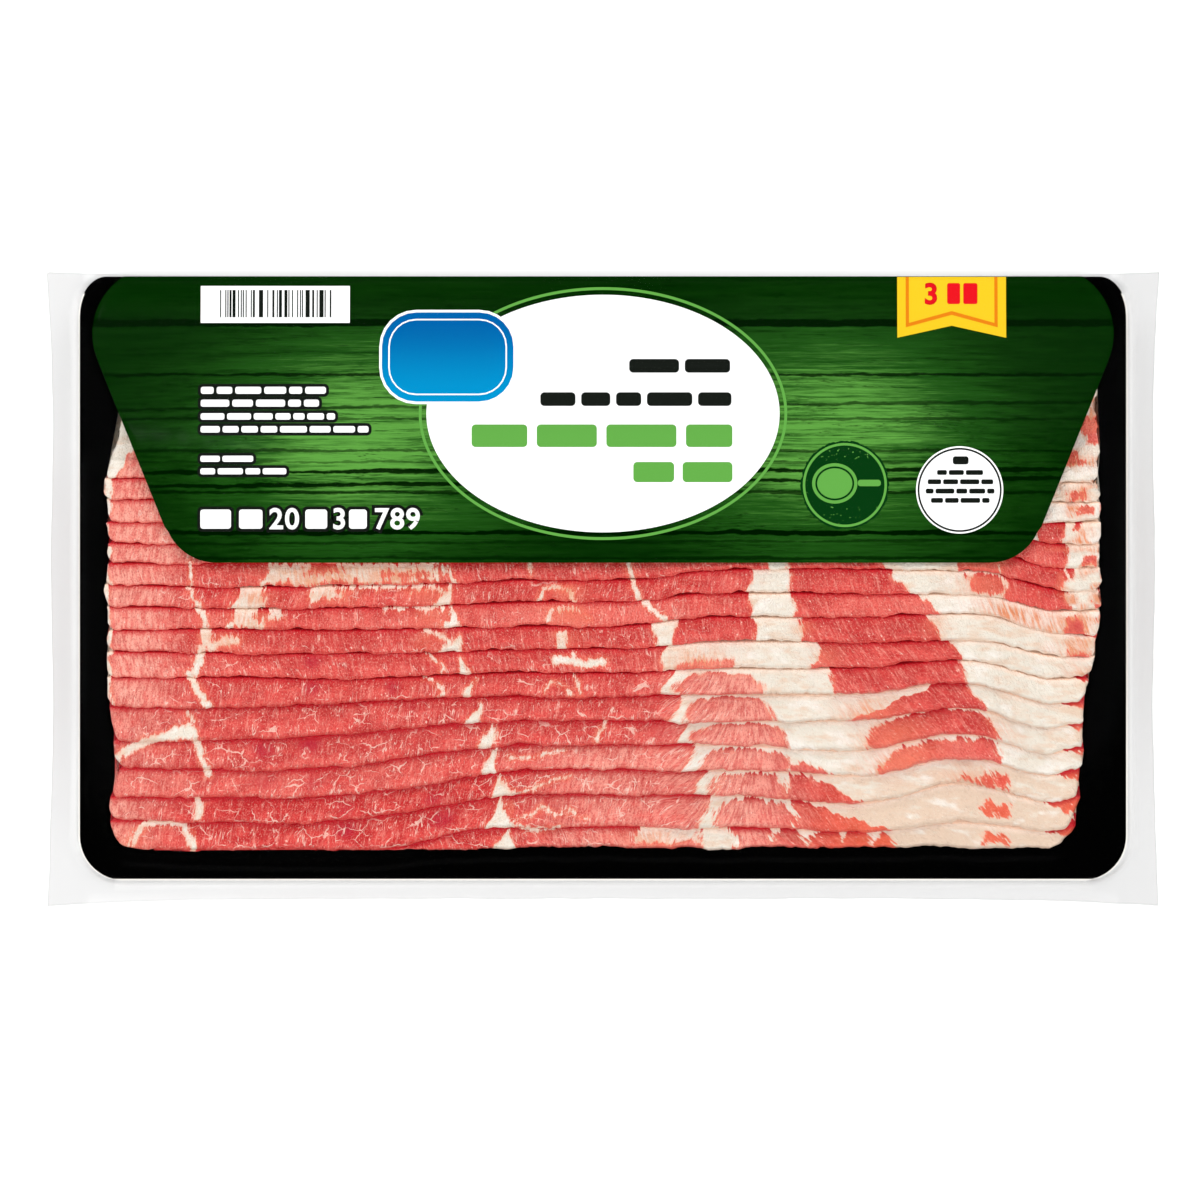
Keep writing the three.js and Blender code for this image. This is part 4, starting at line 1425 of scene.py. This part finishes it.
@dataclass
class Print:
    """Printed shapes on the flap, as thin plates bent to it.

    Attributes:
        card: Shape of the card under the print.
        coats: Heights of the plates' faces over the card, from the lowest coat up.
        hair: How much higher lettering stands than its coat.
        sunk: How far the plates reach into the card.
        margin: Left side of the rows of words.
        plate: Middle of the white oval.
        badge: Left, lower, right and upper side of the blue badge.
        pennant: Middle and top of the pennant.
        roundel: Middle of the dark roundel.
        seal: Middle of the white seal.
        made: The materials built so far.
    """

    card: CardShape
    coats: tuple[float, ...] = (.05, .09, .13, .17, .21)
    hair: float = .01
    sunk: float = .03
    margin: float = -99.6
    plate: tuple[float, float] = (0.0, 43.5)
    badge: tuple[float, float, float, float] = (-54.8, 46.4, -22.2, 68.6)
    pennant: tuple[float, float] = (86.5, 77.45)
    roundel: tuple[float, float] = (59.8, 25.7)
    seal: tuple[float, float] = (88.2, 24.5)
    made: dict[Ink, bpy.types.Material] = field(default_factory=dict)

    def build(self) -> list[bpy.types.Object]:
        """Builds every printed shape."""
        return [*self._barcode(), *self._left_words(), *self._plate(), *self._badge(), *self._pennant(),
                *self._roundel(), *self._seal()]

    def _material(self, ink: Ink) -> bpy.types.Material:
        """Returns an ink's material, built once."""
        if ink not in self.made:
            self.made[ink] = ink.value[0].material()
        return self.made[ink]

    def _piece(self, name: str, ink: Ink, coat: int, loops: Sequence[Loop] = (),
               rings: Sequence[tuple[Loop, Loop]] = (), mesh: Optional[bpy.types.Mesh] = None,
               raised: float = 0.0) -> bpy.types.Object:
        """Builds one plate of print.

        Args:
            name: Name of the piece.
            ink: Colour of the print.
            coat: Number of the coat, 0 for the lowest.
            loops: Outlines of filled shapes, in mm.
            rings: Pairs of outer and inner outlines with as many points.
            mesh: A flat mesh of lettering, in mm.
            raised: Height over the coat.

        Returns:
            The piece.
        """
        bm = self._flat(loops, rings, mesh)
        self._divide(bm)
        lift = self.coats[coat] + raised
        verts = list(bm.verts)
        heights = self.card.outer(np.array([v.co.x for v in verts]), np.array([v.co.y for v in verts]))
        for vert, height in zip(verts, heights):
            vert.co = Vector((vert.co.x, vert.co.y, float(height) + lift)) * MM
        bmesh.ops.solidify(bm, geom=bm.faces, thickness=(lift + self.sunk) * MM)
        bmesh.ops.recalc_face_normals(bm, faces=bm.faces)
        out = bpy.data.meshes.new(name)
        bm.to_mesh(out)
        bm.free()
        return place_piece(name, out, [self._material(ink)], smooth=False)

    @staticmethod
    def _flat(loops: Sequence[Loop], rings: Sequence[tuple[Loop, Loop]],
              mesh: Optional[bpy.types.Mesh]) -> bmesh.types.BMesh:
        """Returns flat triangles in mm.

        Args:
            loops: Outlines of filled shapes.
            rings: Pairs of outer and inner outlines with as many points.
            mesh: A flat mesh that is added.

        Returns:
            The triangles, to be freed by the caller.
        """
        bm = bmesh.new()
        if mesh is not None:
            bm.from_mesh(mesh)
        for loop in loops:
            bm.faces.new([bm.verts.new((x, y, 0)) for x, y in loop])
        for outer, inner in rings:
            first = [bm.verts.new((x, y, 0)) for x, y in outer]
            second = [bm.verts.new((x, y, 0)) for x, y in inner]
            for k in range(len(first)):
                n = (k + 1) % len(first)
                bm.faces.new((first[k], first[n], second[n], second[k]))
        bmesh.ops.remove_doubles(bm, verts=bm.verts, dist=1e-4)
        bmesh.ops.triangulate(bm, faces=bm.faces)
        return bm

    @staticmethod
    def _divide(bm: bmesh.types.BMesh) -> None:
        """Cuts flat faces finely enough to follow the bent card, most finely at the fold."""
        xs, ys = [v.co.x for v in bm.verts], [v.co.y for v in bm.verts]
        cuts = [((c, 0, 0), (1, 0, 0)) for c in np.arange(math.ceil(min(xs) / 6) * 6, max(xs), 6.0)]
        levels = [*np.arange(math.ceil(min(ys)), min(max(ys), 76), 1.0),
                  *(c for c in (76.1, 76.5, 76.9, 77.2, 77.45) if min(ys) < c < max(ys))]
        cuts += [((0, c, 0), (0, 1, 0)) for c in levels]
        for point, normal in cuts:
            geometry = [*bm.verts, *bm.edges, *bm.faces]
            bmesh.ops.bisect_plane(bm, geom=geometry, plane_co=point, plane_no=normal, dist=1e-5)
        bmesh.ops.triangulate(bm, faces=bm.faces)
        bmesh.ops.dissolve_degenerate(bm, edges=bm.edges, dist=1e-4)
        for face in bm.faces:
            face.normal_update()
        bmesh.ops.reverse_faces(bm, faces=[f for f in bm.faces if f.normal.z < 0])

    @staticmethod
    def _letters(text: str, x: float, y: float, size: float, grow: float) -> bpy.types.Mesh:
        """Returns a flat mesh of plain numbers.

        Args:
            text: The numbers.
            x: Left side.
            y: Foot line.
            size: Height setting of the lettering.
            grow: How far outlines are widened.

        Returns:
            The mesh, in mm.
        """
        curve = bpy.data.curves.new("numbers", "FONT")
        curve.body, curve.size, curve.offset, curve.resolution_u = text, size, grow, 6
        curve.space_character = 1.08
        item = bpy.data.objects.new("numbers", curve)
        bpy.context.scene.collection.objects.link(item)
        mesh = bpy.data.meshes.new_from_object(item.evaluated_get(bpy.context.evaluated_depsgraph_get()))
        bpy.data.objects.remove(item)
        bpy.data.curves.remove(curve)
        mesh.transform(Matrix.Translation((x, y, 0)))
        return mesh

    @staticmethod
    def _words(left: float, right: float, y: float, height: float, seed: int) -> list[Loop]:
        """Returns a row of word-like bars.

        Args:
            left: Start of the row.
            right: End of the row.
            y: Middle of the row.
            height: Height of the bars.
            seed: Which random widths are used.

        Returns:
            The outlines of the bars.
        """
        rng = np.random.default_rng(seed)
        out, x = [], left
        while x < right - height * .8:
            end = min(right, x + height * rng.uniform(1.6, 4.2))
            if right - end < height * 1.2:
                end = right
            out.append(block(x, y - height / 2, end, y + height / 2, min(height * .32, 1.0)))
            x = end + height * .42
        return out

    def _barcode(self) -> list[bpy.types.Object]:
        """Builds the white field with random bars."""
        rng = np.random.default_rng(12)
        x, bars = -95.0, []
        while x < -67.6:
            wide = float(rng.choice([.28, .28, .5, .75, 1.05], p=[.36, .2, .2, .14, .1]))
            bars.append(block(x, 67.4, min(x + wide, -67.4), 74.2))
            x += wide + float(rng.choice([.25, .4, .6, 1.0], p=[.34, .3, .24, .12]))
        return [self._piece("print_code_field", Ink.WHITE, 0, [block(-99.8, 66.0, -62.8, 75.2)]),
                self._piece("print_code_bars", Ink.DARK, 1, bars)]

    def _left_words(self) -> list[bpy.types.Object]:
        """Builds the rows of word-like bars at the left and the large row of plain numbers."""
        rows = [(-68.6, 49.2, 1.75), (-70.3, 46.0, 1.75), (-66.3, 42.7, 1.6), (-58.0, 39.5, 1.6),
                (-86.5, 32.2, 1.5), (-78.3, 29.1, 1.5)]
        light, back, border = [], [], .75
        for seed, (right, y, height) in enumerate(rows, 3):
            light += self._words(self.margin, right, y, height, seed)
            back.append(block(self.margin - border, y - height / 2 - border, right + border,
                              y + height / 2 + border, 1.2))
        return [self._piece("print_words_back", Ink.DARK, 0, self._merged(back)),
                self._piece("print_words", Ink.WHITE, 1, light), *self._weight_row()]

    @staticmethod
    def _merged(loops: list[Loop]) -> list[Loop]:
        """Returns the outlines in rows that don't overlap, by trimming each to its upper neighbour."""
        out: list[Loop] = []
        floor = math.inf
        for loop in loops:
            top = max(y for _, y in loop)
            limit = min(top, floor - .02)
            out.append([(x, min(y, limit)) for x, y in loop])
            floor = min(y for _, y in loop)
        return out

    def _weight_row(self) -> list[bpy.types.Object]:
        """Builds the large row: bars in place of words and plain numbers."""
        y, tall = 14.9, 5.1
        bars = [(self.margin, -92.0), (-90.0, -84.2), (-73.6, -68.2), (-62.8, -58.4)]
        numbers = [("20", -82.6), ("3", -67.0), ("789", -56.6)]
        out = []
        for coat, (kind, ink, grow) in enumerate((("back", Ink.DARK, .75), ("front", Ink.WHITE, 0.0))):
            loops = [block(left - grow, y - grow, right + grow, y + tall * .93 + grow, .7 + grow * .6)
                     for left, right in bars]
            out.append(self._piece(f"print_weight_{kind}", ink, coat, loops))
            for number, (text, x) in enumerate(numbers, 1):
                mesh = self._letters(text, x, y, tall * 1.42, grow + .16)
                out.append(self._piece(f"print_number_{number}_{kind}", ink, coat, mesh=mesh,
                                       raised=self.hair))
        return out

    def _plate(self) -> list[bpy.types.Object]:
        """Builds the white oval, its keyline and its rows of bars."""
        x, y = self.plate
        dark = [*self._words(6.5, 31.5, 55.3, 3.4, 21), *self._words(-15.5, 31.8, 47.0, 3.4, 22)]
        lime = [*self._words(-32.5, 32.0, 37.9, 5.6, 24), *self._words(7.5, 32.0, 28.9, 5.0, 25)]
        ring = (oval(x, y, 45.6, 31.4, 160), oval(x, y, 44.9, 30.7, 160))
        return [self._piece("print_oval", Ink.WHITE, 0, [oval(x, y, 43.7, 29.5, 160)]),
                self._piece("print_oval_line", Ink.LIME, 0, rings=[ring]),
                self._piece("print_oval_dark", Ink.DARK, 1, dark),
                self._piece("print_oval_lime", Ink.LIME, 1, lime)]

    def _badge(self) -> list[bpy.types.Object]:
        """Builds the bare blue badge."""
        x0, y0, x1, y1 = self.badge

        def grown(gap: float, radius: float) -> Loop:
            """Returns the badge's outline widened by a gap."""
            return block(x0 - gap, y0 - gap, x1 + gap, y1 + gap, radius)

        return [self._piece("print_badge_back", Ink.WHITE, 2, [grown(.65, 9.1)]),
                self._piece("print_badge", Ink.BLUE, 3, [grown(0.0, 8.5)]),
                self._piece("print_badge_line", Ink.WHITE, 4, rings=[(grown(-1.6, 6.9), grown(-1.95, 6.55))])]

    def _pennant(self) -> list[bpy.types.Object]:
        """Builds the yellow pennant with its orange line and a plain number."""
        middle, top = self.pennant
        fields = [[(73.0, top), (73.0, 62.3), (middle, 65.3), (middle, top)],
                  [(middle, top), (middle, 65.3), (100.0, 62.3), (100.0, top)]]
        outer = [(75.1, top), (75.1, 64.9), (middle, 68.0), (97.9, 64.9), (97.9, top)]
        inner = [(75.9, top), (75.9, 66.0), (middle, 68.95), (97.1, 66.0), (97.1, top)]
        line = [[outer[k], outer[k + 1], inner[k + 1], inner[k]] for k in range(4)]
        number = self._letters("3", 79.6, 70.8, 7.2, .24)
        words = [block(85.4, 70.7, 88.6, 75.9, .5), block(89.4, 70.7, 92.9, 75.9, .5)]
        return [self._piece("print_pennant", Ink.YELLOW, 0, fields, raised=self.hair),
                self._piece("print_pennant_line", Ink.ORANGE, 1, line),
                self._piece("print_pennant_number", Ink.RED, 1, mesh=number, raised=self.hair),
                self._piece("print_pennant_bar", Ink.RED, 1, words, raised=self.hair)]

    def _roundel(self) -> list[bpy.types.Object]:
        """Builds the dark roundel with a light ring and a plain pan."""
        x, y = self.roundel
        rng = np.random.default_rng(5)
        rough = [(x + (10.9 + rng.uniform(-.22, .22)) * math.cos(2 * math.pi * k / 120),
                  y + (10.9 + rng.uniform(-.22, .22)) * math.sin(2 * math.pi * k / 120)) for k in range(120)]
        pan = oval(x - 2.5, y + .4, 5.6, 5.0, 64)
        handle = block(x + 3.2, y - .3, x + 8.9, y + 1.3, .7)
        rim = (oval(x - 2.5, y + .4, 4.8, 4.2, 64), oval(x - 2.5, y + .4, 4.35, 3.75, 64))
        specks = []
        for _ in range(130):
            a, r = rng.uniform(0, 2 * math.pi), 9.6 * math.sqrt(rng.uniform(.3, 1))
            px, py, size = x + r * math.cos(a), y + r * math.sin(a), rng.uniform(.08, .2)
            if abs(py - y - .4) > 5.8 or px < x - 9.0:
                specks.append(oval(px, py, size, size * rng.uniform(.6, 1), 6))
        ring = (oval(x, y, 10.4, 10.4), oval(x, y, 9.8, 9.8))
        return [self._piece("print_roundel", Ink.DEEP, 0, [rough]),
                self._piece("print_roundel_ring", Ink.LIME, 1, specks, [ring]),
                self._piece("print_roundel_pan", Ink.LIME, 1, [pan]),
                self._piece("print_roundel_handle", Ink.LIME, 1, [handle]),
                self._piece("print_roundel_rim", Ink.DEEP, 2, rings=[rim])]

    def _seal(self) -> list[bpy.types.Object]:
        """Builds the white seal with its thin ring and short bars."""
        x, y = self.seal
        rows = [(-1.7, 2.2, 7.3, 2.0), (-5.6, 5.8, 4.3, 1.2), (-7.9, 8.3, 2.0, 1.2), (-8.4, 8.6, -.3, 1.2),
                (-7.1, 7.4, -2.6, 1.2)]
        bars = []
        for seed, (left, right, up, tall) in enumerate(rows, 31):
            bars += self._words(x + left, x + right, y + up, tall, seed)
        ring = (oval(x, y, 10.4, 10.4), oval(x, y, 9.95, 9.95))
        return [self._piece("print_seal", Ink.WHITE, 0, [oval(x, y, 10.8, 10.8)]),
                self._piece("print_seal_dark", Ink.DARK, 1, bars, [ring])]


@dataclass(frozen=True)
class FilmPouch:
    """The clear pouch: a flat underside, sealed margins and a top drawn over the contents.

    Attributes:
        card: Shape of the card inside.
        finish: Finish of the film.
        step: Spacing of the grid on which the top is drawn over the contents.
        slope: Steepest fall of the top beside what it lies on.
        half_length: Half the pouch's length.
        head: Level of its head side in Y.
        foot: Level of its foot side in Y.
        under: Height of its underside.
        flat: Height of its top on the margins.
        rim: Height at which both sheets meet.
    """

    card: CardShape
    finish: FilmFinish
    step: float = 1.0
    slope: float = 1.25
    half_length: float = 136.8
    head: float = 77.7
    foot: float = -76.9
    under: float = .12
    flat: float = .42
    rim: float = .3

    def build(self, contents: Sequence[Array]) -> bpy.types.Object:
        """Builds the pouch.

        Args:
            contents: Points of everything inside, in mm.

        Returns:
            The piece.
        """
        heights, corner = self._drape(np.concatenate(contents))
        a = np.concatenate([[-1], np.linspace(-.996, .996, 290), [1]])
        b = np.concatenate([[-1], np.linspace(-.992, .992, 170), [1]])
        across, along = np.meshgrid(a, b)
        x, y = self._outline(across, along)
        within = (np.abs(across) < 1) & (np.abs(along) < 1)
        ripple = LatticeNoise(90)
        wave = .12 * ripple.sample(x / 7, y / 5) + .08 * ripple.sample(x / 2.1, y / 13)
        upper = np.where(within, self._look_up(heights, corner, x, y) + wave * .4, self.rim)
        lower = np.where(within, self.under, self.rim)
        seal = self._seal(x, y)
        sheets = [shell_mesh(name, np.stack([x, y, z], axis=2), False, {"seal": seal})
                  for name, z in (("film", upper), ("film_under", lower))]
        bm = bmesh.new()
        for sheet in sheets:
            bm.from_mesh(sheet)
        bmesh.ops.remove_doubles(bm, verts=bm.verts, dist=2e-6)
        bmesh.ops.recalc_face_normals(bm, faces=bm.faces)
        bm.to_mesh(sheets[0])
        bm.free()
        bpy.data.meshes.remove(sheets[1])
        return place_piece("film_pouch", sheets[0], [self.finish.material()], ["film_pouch"])

    def _outline(self, a: Array, b: Array) -> tuple[Array, Array]:
        """Returns the place in mm for shares -1..1 of the pouch's length and width."""
        corner = (a * b) ** 6
        wave = .25 * np.sin(7 * b + 1) * np.abs(a)
        x = a * (self.half_length + wave + 1.1 * corner)
        y = np.where(b > 0, b * (self.head + corner), -b * (self.foot - 1.8 * corner))
        edge = LatticeNoise(91)
        rough = np.clip(np.abs(b) - .9, 0, .1) * 10
        y = y + .14 * edge.sample(x / 6, 2.5 + b) * rough * (b < 0)
        return x + .12 * edge.sample(y / 5, 7.5 + a) * np.clip(np.abs(a) - .95, 0, .05) * 20, y

    def _seal(self, x: Array, y: Array) -> Array:
        """Returns how hazy the film is: most on the margins beyond the board and 0 over it."""
        card = self.card
        half = card.board_half(np.clip(y, card.foot, card.fold))
        beyond = np.maximum(np.abs(x) - half, np.maximum(card.foot - y, y - card.fold - 1.6))
        side = .62 + .43 * smooth_step(-120, 125, x)
        side = side - .22 * smooth_step(2, 6, card.foot - y) * (np.abs(x) < 128)
        return side * smooth_step(.1, 1.2, beyond) * (.45 + .55 * smooth_step(1.2, 2.6, beyond))

    def _drape(self, points: Array) -> tuple[Array, tuple[float, float]]:
        """Draws a sheet over the card and the contents.

        Args:
            points: Points of the contents, in mm.

        Returns:
            The sheet's heights on a square grid, and the place of the grid's first corner.
        """
        card, step, x0, y0 = self.card, self.step, -142.0, -84.0
        columns, rows = int(284 / step) + 1, int(168 / step) + 1
        x, y = np.meshgrid(x0 + step * np.arange(columns), y0 + step * np.arange(rows))
        half = card.board_half(np.clip(y, card.foot, card.fold))
        board = (np.abs(x) < half + .6) & (y > card.foot - .6) & (y < card.fold + 1.6)
        solid = np.where(board, card.top + .15, self.flat)
        flap = (np.abs(x) < card.flap_half(y) + .6) & (y > card.flap_foot - .6) & (y < 77.4)
        solid[flap] = np.maximum(solid[flap], card.outer(x, np.clip(y, card.flap_foot, 77.4))[flap] + .35)
        i = np.rint((points[:, 1] - y0) / step).astype(int)
        j = np.rint((points[:, 0] - x0) / step).astype(int)
        np.maximum.at(solid, (i, j), points[:, 2] + .3)
        sheet = solid
        for _ in range(40):
            shifted = [np.roll(sheet, shift, axis) for axis in (0, 1) for shift in (1, -1)]
            sheet = np.maximum(sheet, np.max(shifted, axis=0) - self.slope * step)
        away = np.maximum(np.abs(x) - card.half, np.maximum(card.foot - y, y - card.fold - 1.6))
        margin = self.flat + 1.2 * np.clip(away, 0, .01)
        sheet = np.where(board, sheet, np.minimum(sheet, margin))
        for _ in range(5):
            wide = np.pad(sheet, 1, mode="edge")
            sides = wide[:-2, 1:-1] + wide[2:, 1:-1] + wide[1:-1, :-2] + wide[1:-1, 2:]
            sheet = np.maximum((sheet * 4 + sides) / 8, solid)
        return sheet, (x0, y0)

    def _look_up(self, heights: Array, corner: tuple[float, float], x: Array, y: Array) -> Array:
        """Returns heights between a grid's points.

        Args:
            heights: Heights on the grid.
            corner: Place of the grid's first corner.
            x: Places in X.
            y: Places in Y.

        Returns:
            The heights there.
        """
        u, v = (x - corner[0]) / self.step, (y - corner[1]) / self.step
        j, i = np.floor(u).astype(int), np.floor(v).astype(int)
        f, g = u - j, v - i
        low = heights[i, j] * (1 - f) + heights[i, j + 1] * f
        high = heights[i + 1, j] * (1 - f) + heights[i + 1, j + 1] * f
        return low * (1 - g) + high * g


@dataclass(frozen=True)
class Studio:
    """Floor, soft lights and the camera that looks straight down, in metres.

    Attributes:
        distance: Height of the camera.
        width: How much of the floor it sees.
        centre: Where it looks at.
        ambient: Strength of the light from all sides.
        lights: Name, place, size and power in watts of each light.
    """

    distance: float = 5.0
    width: float = 0.298
    centre: tuple[float, float] = (-0.00074, -0.00273)
    ambient: float = 0.55
    lights: tuple[tuple[str, tuple[float, float, float], float, float], ...] = (
        ("head", (0.0, 1.3, 1.35), 1.3, 11.0), ("left", (-1.5, .2, 1.2), 1.2, 11.0),
        ("right", (1.5, .2, 1.2), 1.2, 11.0), ("foot", (0.0, -1.3, 1.35), 1.3, 15.0),
        ("lamp", (-0.5, 1.1, 1.7), .16, 5.0))

    def build(self) -> None:
        """Builds the studio."""
        scene = bpy.context.scene
        scene.view_settings.view_transform = "Standard"
        scene.cycles.max_bounces, scene.cycles.diffuse_bounces, scene.cycles.glossy_bounces = 4, 2, 2
        self._floor()
        for light in self.lights:
            self._light(*light)
        world = bpy.data.worlds.new("studio")
        world.use_nodes = True
        back = world.node_tree.nodes["Background"]
        back.inputs["Color"].default_value = (1, 1, 1, 1)
        back.inputs["Strength"].default_value = self.ambient
        scene.world = world
        data = bpy.data.cameras.new("view")
        data.lens, data.sensor_width = 36 * self.distance / self.width, 36
        data.clip_end = 50
        camera = bpy.data.objects.new("view", data)
        camera.location = (*self.centre, self.distance)
        scene.collection.objects.link(camera)
        scene.camera = camera

    @staticmethod
    def _light(name: str, place: tuple[float, float, float], size: float, power: float) -> None:
        """Adds a soft light that faces the pack."""
        data = bpy.data.lights.new(name, "AREA")
        data.shape, data.size, data.energy = "SQUARE", size, power
        data.cycles.max_bounces = 2
        item = bpy.data.objects.new(name, data)
        item.location = place
        item.rotation_euler = (Vector((0, 0, 0.01)) - Vector(place)).to_track_quat("-Z", "Y").to_euler()
        bpy.context.scene.collection.objects.link(item)

    @staticmethod
    def _floor() -> None:
        """Adds the pale floor."""
        bm = bmesh.new()
        bmesh.ops.create_grid(bm, x_segments=1, y_segments=1, size=6)
        mesh = bpy.data.meshes.new("floor")
        bm.to_mesh(mesh)
        bm.free()
        mesh.materials.append(PlainFinish("floor", (.94, .94, .94), .9, .1).material())
        floor = bpy.data.objects.new("floor", mesh)
        bpy.context.scene.collection.objects.link(floor)
        floor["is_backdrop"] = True


def write_sizes(before: object, after: object) -> None:
    """Turns the frame's bounds and the dressed object's bounds into plain lists and numbers, which are not
    kept.
    """
    def plain(value: object) -> object:
        """Returns bounds as plain lists and numbers."""
        if isinstance(value, dict):
            return {key: plain(entry) for key, entry in value.items()}
        if isinstance(value, (tuple, list, Vector, np.ndarray)):
            return [plain(entry) for entry in value]
        return float(value)

    {"frame": plain(before), "dressed": plain(after)}


def main() -> None:
    """Builds the looks of the pack."""
    logging.basicConfig(level=logging.INFO, format="%(relativeCreated)d %(message)s")
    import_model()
    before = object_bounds()
    card = CardShape()
    Studio().build()
    slices = Slices(StackShape(), MeatFinish(), 600)
    slices.build()
    FoldedCard(card).build()
    Print(card).build()
    FilmPouch(card, FilmFinish()).build(slices.tops)
    write_sizes(before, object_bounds())


if __name__ == "__main__":
    main()
